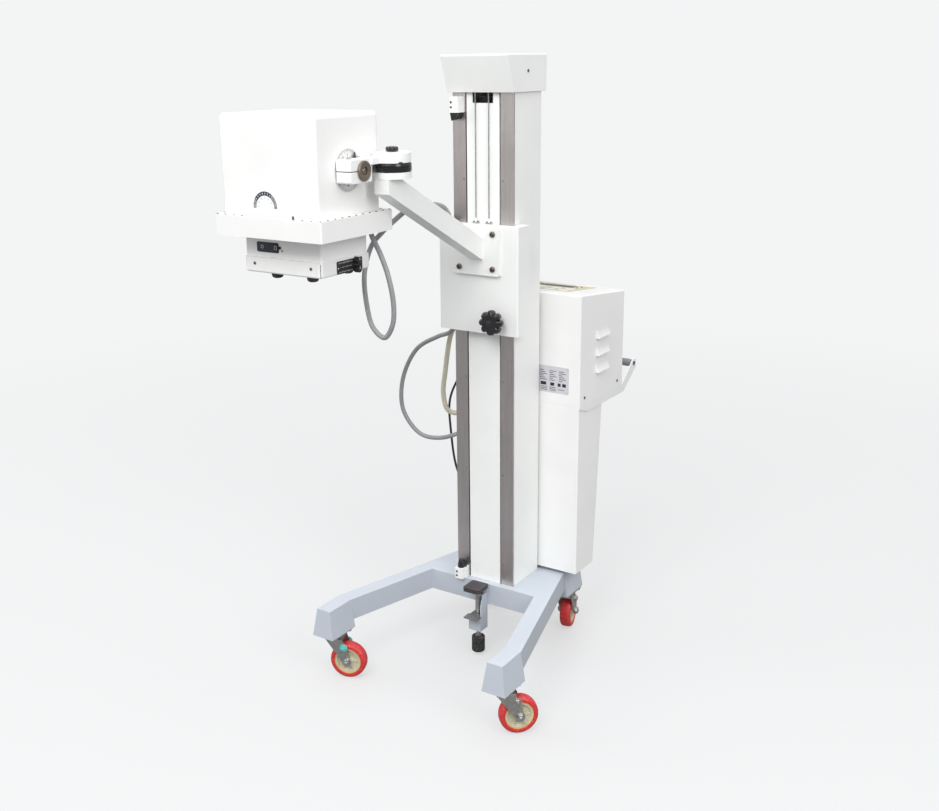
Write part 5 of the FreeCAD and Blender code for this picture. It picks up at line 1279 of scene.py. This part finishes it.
def scale_plate():
    """Black field scale behind the two knobs: generic ticks, no words."""
    low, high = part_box("collimator_cover")
    face = high.x
    knob_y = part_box("upper_field_knob")
    knob_y = (knob_y[0].y + knob_y[1].y) / 2
    front, back = knob_y - 67 * MM, knob_y + 26 * MM
    bottom, top = low.z + 1.5 * MM, low.z + 31 * MM
    plate = Shape()
    middle_point = Vector((face - 0.05 * MM, (front + back) / 2, (bottom + top) / 2))
    plate.slab(middle_point, Y, Z, (back - front, top - bottom), 0.0006, 0.002)
    plate.finish = 1
    skin = face + 0.6 * MM
    for row, height in ((top - 4.6 * MM, 0.0040), (bottom + 4.2 * MM, 0.0030)):
        for index in range(15):
            long = height if index % 5 == 0 else height * 0.6
            spot = Vector((skin, front + (8 + 3.4 * index) * MM, row))
            plate.slab(spot, Y, Z, (0.0011, long), 0.00015)
    for index in range(9):
        spot = Vector((skin, front + (14 + 4.6 * index) * MM, (bottom + top) / 2))
        plate.slab(spot, Y, Z, (0.0016 + 0.0012 * (index % 3), 0.0009), 0.00015)
    dot = Vector((skin, front + 5.5 * MM, (bottom + top) / 2 - 1 * MM))
    plate.lathe(in_metres([(0.3, 0), (1.9, 0), (1.6, 0.3), (0.3, 0.3)]), dot, X, 28)
    plate.piece("field_scale_plate", "head", "black_film", "white_film", rounding=0.1)


def cover_screws_and_bumpers():
    """Two countersunk screws on the cover's front and four rubber bumpers below it."""
    low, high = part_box("collimator_cover")
    screws = Shape()
    for x in (-271, -103):
        spot = Vector((stand(x, 0, 0).x, low.y, low.z + 21 * MM))
        screws.screw_head(spot, -Y, 3.6 * MM, 1.8 * MM, "cross", turn=0.4)
    screws.piece("cover_screws", "head", "dark_screw", sharp=50)
    bumpers = Shape()
    dome = [(0.3, -13.6), (8, -13.6), (12, -11.5), (13.6, -7), (14, -1), (14, 2), (0.3, 2)]
    for x in (-228, -122):
        for y in (low.y + 28 * MM, high.y - 28 * MM):
            spot = Vector((stand(x, 0, 0).x, y, low.z))
            bumpers.lathe(in_metres(dome), spot, Z, 56)
    bumpers.piece("cover_bumpers", "head", "rubber")
    window = Shape()
    centre = Vector(((low.x + high.x) / 2, (low.y + high.y) / 2, low.z + 3.2 * MM))
    window.slab(centre, X, Y, (0.124, 0.124), 0.0018, 0.002)
    window.finish = 1
    for right, up in ((X, Y), (Y, X)):
        window.slab(centre - Z * 0.2 * MM, right, up, (0.118, 0.0006), 0.0001)
    window.piece("beam_window", "head", "glass", "black_film", rounding=0.3)


# ---- Stand details --------------------------------------------------------------------


def rating_plate():
    """Generic rating plate on the control box's front: blocks and lines, no words."""
    low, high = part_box("control_box")
    bottom_left = Vector((stand(83, 0, 0).x, low.y, stand(0, 0, 740).z))
    width, height = 95 * MM, 74 * MM
    plate = Shape()
    centre = bottom_left + X * width / 2 + Z * height / 2 + Y * 0.1 * MM
    plate.slab(centre, X, Z, (width, height), 0.0007, 0.003)
    plate.finish = 1
    face = bottom_left - Y * 0.55 * MM
    for row in range(6):
        base = face + Z * (61 - 5.2 * row) * MM
        for column in range(3):
            start, length = 7 + 29 * column, 11 + 5 * ((row + 2 * column) % 3)
            spot = base + X * (start + length / 2) * MM
            plate.slab(spot, X, Z, (length * MM, 0.0017), 0.0002)
    for index, (x, width_mm) in enumerate(((18, 17), (45, 12), (66, 9), (81, 11))):
        plate.slab(face + X * x * MM + Z * 24 * MM, X, Z, (width_mm * MM, 0.009), 0.0002)
    for row in range(3):
        for column in range(2 + row % 2):
            spot = face + X * (20 + 26 * column) * MM + Z * (15 - 4.4 * row) * MM
            plate.slab(spot, X, Z, (0.019, 0.0015), 0.0002)
    plate.finish = 2
    for x in (4, 91):
        for z in (4, 70):
            plate.screw_head(face + X * x * MM + Z * z * MM, -Y, 1.5 * MM, 0.8 * MM, "plain")
    plate.piece("rating_plate", "stand", "plate_film", "black_film", "nickel")


def console_keys():
    """Membrane keys, dark display windows and small lamps on the console."""
    low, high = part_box("console_panel")
    tilt = math.atan2(low.z + 5.5 * MM - high.z, high.y - low.y)
    back = Vector((0, math.cos(tilt), math.sin(tilt)))
    out = X.cross(back)
    origin = Vector((low.x, low.y, high.z))
    wide, deep = high.x - low.x, (high.y - low.y) / math.cos(tilt)

    def place(u, v):
        return origin + X * u * wide + back * v * deep - out * 0.2 * MM

    panel = Shape()
    panel.finish = 0
    for u, width in ((0.28, 0.10), (0.64, 0.10)):
        panel.slab(place(u, 0.72), X, back, (width, 0.034), 0.0011, 0.003)
    panel.finish = 1
    for row in range(2):
        for column in range(6):
            spot = place(0.14 + 0.145 * column, 0.22 + 0.21 * row)
            panel.slab(spot, X, back, (0.026, 0.019), 0.0016, 0.004)
    panel.finish = 2
    for column in range(6):
        spot = place(0.14 + 0.145 * column, 0.52)
        panel.slab(spot, X, back, (0.017, 0.0013), 0.0004)
    panel.finish = 3
    panel.lathe(in_metres([(0.3, 0), (3.2, 0), (3.0, 1.8), (1.8, 2.8), (0.3, 3)]), place(0.86, 0.78), out, 32)
    panel.finish = 4
    panel.lathe(in_metres([(0.3, 0), (3.2, 0), (3.0, 1.8), (1.8, 2.8), (0.3, 3)]), place(0.86, 0.64), out, 32)
    panel.piece("console_keys", "stand", "dark_film", "white_film", "grey_ink", "red_lens",
                "green_lens", rounding=0.3)
    frame_shape = Shape()
    frame_shape.finish = 0
    for u, v, size in ((0.5, -0.014, (wide + 0.012, 0.010)), (0.5, 1.014, (wide + 0.012, 0.010))):
        frame_shape.slab(place(u, v), X, back, size, 0.0018, 0.002)
    for u in (-0.01, 1.01):
        frame_shape.slab(place(u, 0.5), X, back, (0.010, deep), 0.0018, 0.002)
    frame_shape.piece("console_bezel", "stand", "white_paint", rounding=0.4)


def grip_sleeve():
    """Ribbed sleeve on the push handle."""
    low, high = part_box("handle_grip")
    centre = Vector((low.x, (low.y + high.y) / 2, (low.z + high.z) / 2))
    radius = (high.z - low.z) / 2
    long = high.x - low.x
    profile = [(0.3 * MM, 0), (radius - 1.5 * MM, 0), (radius - 1.5 * MM, 0.006)]
    start, pitch = 0.010, 0.0045
    for index in range(int((long - 2 * start) / pitch)):
        along = start + pitch * index
        profile += [(radius - 0.7 * MM, along), (radius, along + 0.25 * pitch),
                    (radius, along + 0.65 * pitch), (radius - 0.7 * MM, along + 0.9 * pitch)]
    profile += [(radius - 1.5 * MM, long - 0.006), (radius - 1.5 * MM, long), (0.3 * MM, long)]
    sleeve = Shape()
    sleeve.lathe(profile, centre, X, 48)
    item = sleeve.piece("grip_sleeve", "stand", "grip", sharp=60)
    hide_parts("handle_grip")


def lock_details():
    """Pad on the pedal, return spring on the spindle, collar and washer at the foot."""
    low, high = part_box("lock_spindle")
    pin = middle("lock_foot")
    x, y = (low.x + high.x) / 2, pin.y
    pad = Shape()
    depth = 12 * MM
    centre = Vector((x, (low.y + high.y) / 2, high.z - depth + 2.6 * MM))
    pad.slab(centre, X, Y, (high.x - low.x + 3 * MM, high.y - low.y + 3 * MM), depth, 0.006)
    for index in range(7):
        spot = Vector((x, low.y + (8 + 5.8 * index) * MM, high.z + 2.4 * MM))
        pad.slab(spot, X, Y, (high.x - low.x - 12 * MM, 0.0022), 0.0007, 0.001)
    pad.piece("pedal_pad", "floor_lock", "pedal", rounding=0.9)
    foot_low, foot_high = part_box("lock_foot")
    collar = Shape()
    ring = [(5.1, 0), (9.5, 0), (9.5, 2.2), (7.6, 3.2), (7.6, 6.5), (5.1, 6.5)]
    collar.lathe(in_metres(ring), Vector((x, y, foot_high.z - 0.5 * MM)), Z, 48, closed=True)
    collar.piece("foot_collar", "floor_lock", "nickel")
    rings = Shape()
    bracket_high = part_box("floor_lock_bracket")[1].z
    spring_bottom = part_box("release_lever")[1].z + 6 * MM
    spring_top = low.z + (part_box("lock_spindle")[1].z - low.z) - 14 * MM
    turns, wire, radius = 9, 1.0 * MM, 7.4 * MM
    path = []
    for step in range(turns * 28 + 1):
        angle = 2 * math.pi * step / 28
        share = step / (turns * 28)
        path.append(Vector((x + radius * math.cos(angle), y + radius * math.sin(angle),
                            spring_bottom + 1.2 * MM + share * (spring_top - spring_bottom - 2.4 * MM))))
    rings.tube(path, wire, 12)
    coil = rings.piece("return_spring", None, "nickel")
    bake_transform(coil)


def buffer_tips():
    """Moulded rubber cones on the two travel stops."""
    low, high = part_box("stop_buffers")
    x = (low.x + high.x) / 2
    tips = Shape()
    cone = [(10.0, 0), (10.2, 5), (9.2, 12), (6.6, 21), (4.2, 26), (0.3, 27)]
    bottom_block = stand(0, 0, 240).z
    tips.lathe(in_metres(cone), Vector((x, low.y + 11.5 * MM, bottom_block)), Z, 56)
    tips.lathe(in_metres([(7.0, 0), (7.0, 8), (5.6, 22), (3.6, 24), (0.3, 24)]),
               Vector((x + 5 * MM, high.y - 8 * MM, bottom_block)), Z, 48)
    top_block = stand(0, 0, 1484).z
    tips.prism(
        [(-0.0115, 0), (0.0115, 0), (0.0055, -0.016), (-0.0075, -0.020)],
        Vector((x, high.y - 2 * MM, top_block)), X, Z, 0.026,
    )
    item = tips.piece("buffer_tips", "stand", "black_gloss", rounding=1.0)
    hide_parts("stop_buffers")


def pulley_details():
    """Bearing caps on both faces of the sheave, each with four hex socket screws, seen when the cap is off."""
    hub = Vector(JOINTS["pulley_spin"]["pos_m"])
    low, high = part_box("rope_pulley")
    caps = Shape()
    for side, face in ((-1, low.x), (1, high.x)):
        place = Vector((face, hub.y, hub.z))
        caps.lathe(in_metres([(6.2, 0), (13, 0), (13, 1.2), (11.5, 2), (6.2, 2)]), place, X * side, 48, closed=True)
        for index in range(4):
            angle = math.pi / 4 + math.pi / 2 * index
            spot = place + (Y * math.cos(angle) + Z * math.sin(angle)) * 22 * MM
            caps.screw_head(spot, X * side, 3 * MM, 2 * MM, "hex")
    caps.piece("pulley_bearing_caps", "pulley", "nickel", sharp=50)


# ---- Putting the pieces together ------------------------------------------------------

# head radius in mm: (name ending, recess, finish)
STAND_SCREWS = {
    3.0: ("stops", "hex", "dark_screw"),
    3.5: ("rails", "cross", "rope_steel"),
    4.0: ("covers", "cross", "dark_screw"),
    6.0: ("bolts", "hex", "dark_screw"),
}


def stand_fasteners():
    """The stand's screws, grouped by size."""
    groups = {radius: Shape() for radius in STAND_SCREWS}
    for index, (foot, axis, radius, height) in enumerate(screws_of("stand_screws")):
        size = min(STAND_SCREWS, key=lambda known: abs(known * MM - radius))
        recess = STAND_SCREWS[size][1]
        groups[size].screw_head(foot, axis, radius, height, recess, turn=0.7 * index)
    for size, (ending, recess, finish) in STAND_SCREWS.items():
        item = groups[size].piece("stand_screws_" + ending, "stand", finish, sharp=50)
        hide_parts("stand_screws")


casters()
stand_fasteners()
fasteners("skirt_screws", "head", "cross", "dark_screw")
fasteners("arm_bolts", "carriage", "hex", "aged_screw")
star_knob()
pan_knob()
field_knobs()
tilt_dial()
trunnion()
swivel_details()
ring_detail()
ropes()
rope_clamps()
cables()
glands()
tilt_gauge()
skirt_pad()
switch_plate()
scale_plate()
cover_screws_and_bumpers()
rating_plate()
console_keys()
grip_sleeve()
lock_details()
buffer_tips()
pulley_details()


# ---- Stage, light and camera ----------------------------------------------------------

PALE = (0.90, 0.905, 0.91)
SKY = {"below": 0.16, "above": 1.2}
UNSEEN_FLOOR = 0.35


def sky_nodes(tree):
    """Even and pale to the camera; as a light, bright overhead and dim below the horizon."""
    place = tree.nodes.new("ShaderNodeTexCoord")
    parts = tree.nodes.new("ShaderNodeSeparateXYZ")
    tree.links.new(place.outputs["Generated"], parts.inputs["Vector"])
    height = tree.nodes.new("ShaderNodeMapRange")
    for socket, value in (("From Min", -0.35), ("From Max", 0.9), ("To Min", SKY["below"]), ("To Max", SKY["above"])):
        height.inputs[socket].default_value = value
    tree.links.new(parts.outputs["Z"], height.inputs["Value"])
    rays = tree.nodes.new("ShaderNodeLightPath")
    strength = tree.nodes.new("ShaderNodeMix")
    tree.links.new(rays.outputs["Is Camera Ray"], strength.inputs["Factor"])
    tree.links.new(height.outputs["Result"], strength.inputs["A"])
    strength.inputs["B"].default_value = 1.0
    background = tree.nodes["Background"]
    background.inputs["Color"].default_value = (*PALE, 1.0)
    tree.links.new(strength.outputs["Result"], background.inputs["Strength"])


def stage():
    """A pale floor that fades into an equally pale world."""
    scene = bpy.context.scene
    world = bpy.data.worlds.new("pale_world")
    scene.world = world
    world.use_nodes = True
    sky_nodes(world.node_tree)
    mesh = bpy.data.meshes.new("floor")
    reach = 14.0
    mesh.from_pydata(
        [(-reach, -reach, 0), (reach, -reach, 0), (reach, reach, 0), (-reach, reach, 0)],
        [],
        [(0, 1, 2, 3)],
    )
    floor = bpy.data.objects.new("floor", mesh)
    scene.collection.objects.link(floor)
    s = Shader("pale_floor", 0.55)
    rays = s.add("ShaderNodeLightPath")
    grain = s.noise(3, 3)
    tone = s.mix(rays.outputs["Is Camera Ray"], scaled(PALE, 0.3), scaled(PALE, 0.72))
    s.set(Base_Color=s.mix(s.span(grain, 0, 0.02), tone, (0.5, 0.5, 0.5)))
    s.bump((s.noise(90, 2), 0.0001))
    glow = s.add("ShaderNodeEmission")
    glow.inputs["Color"].default_value = (*PALE, 1.0)
    seen = s.span(rays.outputs["Is Camera Ray"], UNSEEN_FLOOR, 1)
    s.links.new(seen, glow.inputs["Strength"])
    length = s.add("ShaderNodeVectorMath", operation="LENGTH")
    s.links.new(s.place, length.inputs[0])
    fade = s.span(length.outputs["Value"], 0.6, 1, 1.0, 4.5)
    blend = s.add("ShaderNodeMixShader")
    s.links.new(fade, blend.inputs["Fac"])
    s.links.new(s.surface.outputs["BSDF"], blend.inputs[1])
    s.links.new(glow.outputs["Emission"], blend.inputs[2])
    s.links.new(blend.outputs["Shader"], s.nodes["Material Output"].inputs["Surface"])
    mesh.materials.append(s.material)


def area_light(name, place, target, size, power, colour=(1, 1, 1)):
    light = bpy.data.lights.new(name, "AREA")
    light.shape = "RECTANGLE"
    light.size, light.size_y = size
    light.energy = power
    light.color = colour
    lamp = bpy.data.objects.new(name, light)
    bpy.context.scene.collection.objects.link(lamp)
    lamp.location = place
    lamp.rotation_euler = (Vector(target) - Vector(place)).to_track_quat("-Z", "Y").to_euler()


def studio_light():
    aim = (0, 0, 0.8)
    area_light("key", (0.5, -3.6, 4.3), aim, (2.4, 2.4), 122)
    area_light("left_fill", (-3.6, -1.6, 2.2), aim, (2.4, 2.4), 35)
    area_light("top_soft", (0.3, 0.2, 4.2), aim, (3.0, 3.0), 4)
    area_light("right_side", (3.4, -1.4, 2.7), (0, 0, 1.1), (1.6, 2.2), 54)


def camera():
    """The viewpoint: in front of the stand, to its right and level with the column's top."""
    data = bpy.data.cameras.new("camera")
    data.sensor_width = 36
    data.lens = CAMERA_LENS
    data.shift_x, data.shift_y = CAMERA_SHIFT
    item = bpy.data.objects.new("camera", data)
    bpy.context.scene.collection.objects.link(item)
    level = math.cos(CAMERA_ELEVATION)
    forward = Vector(
        (
            -math.sin(CAMERA_AZIMUTH) * level,
            math.cos(CAMERA_AZIMUTH) * level,
            -math.sin(CAMERA_ELEVATION),
        )
    )
    turn = forward.to_track_quat("-Z", "Y") @ Matrix.Rotation(CAMERA_ROLL, 3, "Z").to_quaternion()
    item.rotation_mode = "QUATERNION"
    item.rotation_quaternion = turn
    item.location = STAND_POINT + CAMERA_PLACE
    bpy.context.scene.camera = item


stage()
studio_light()
camera()
bpy.context.scene.view_settings.view_transform = "Standard"

bpy.context.view_layer.update()
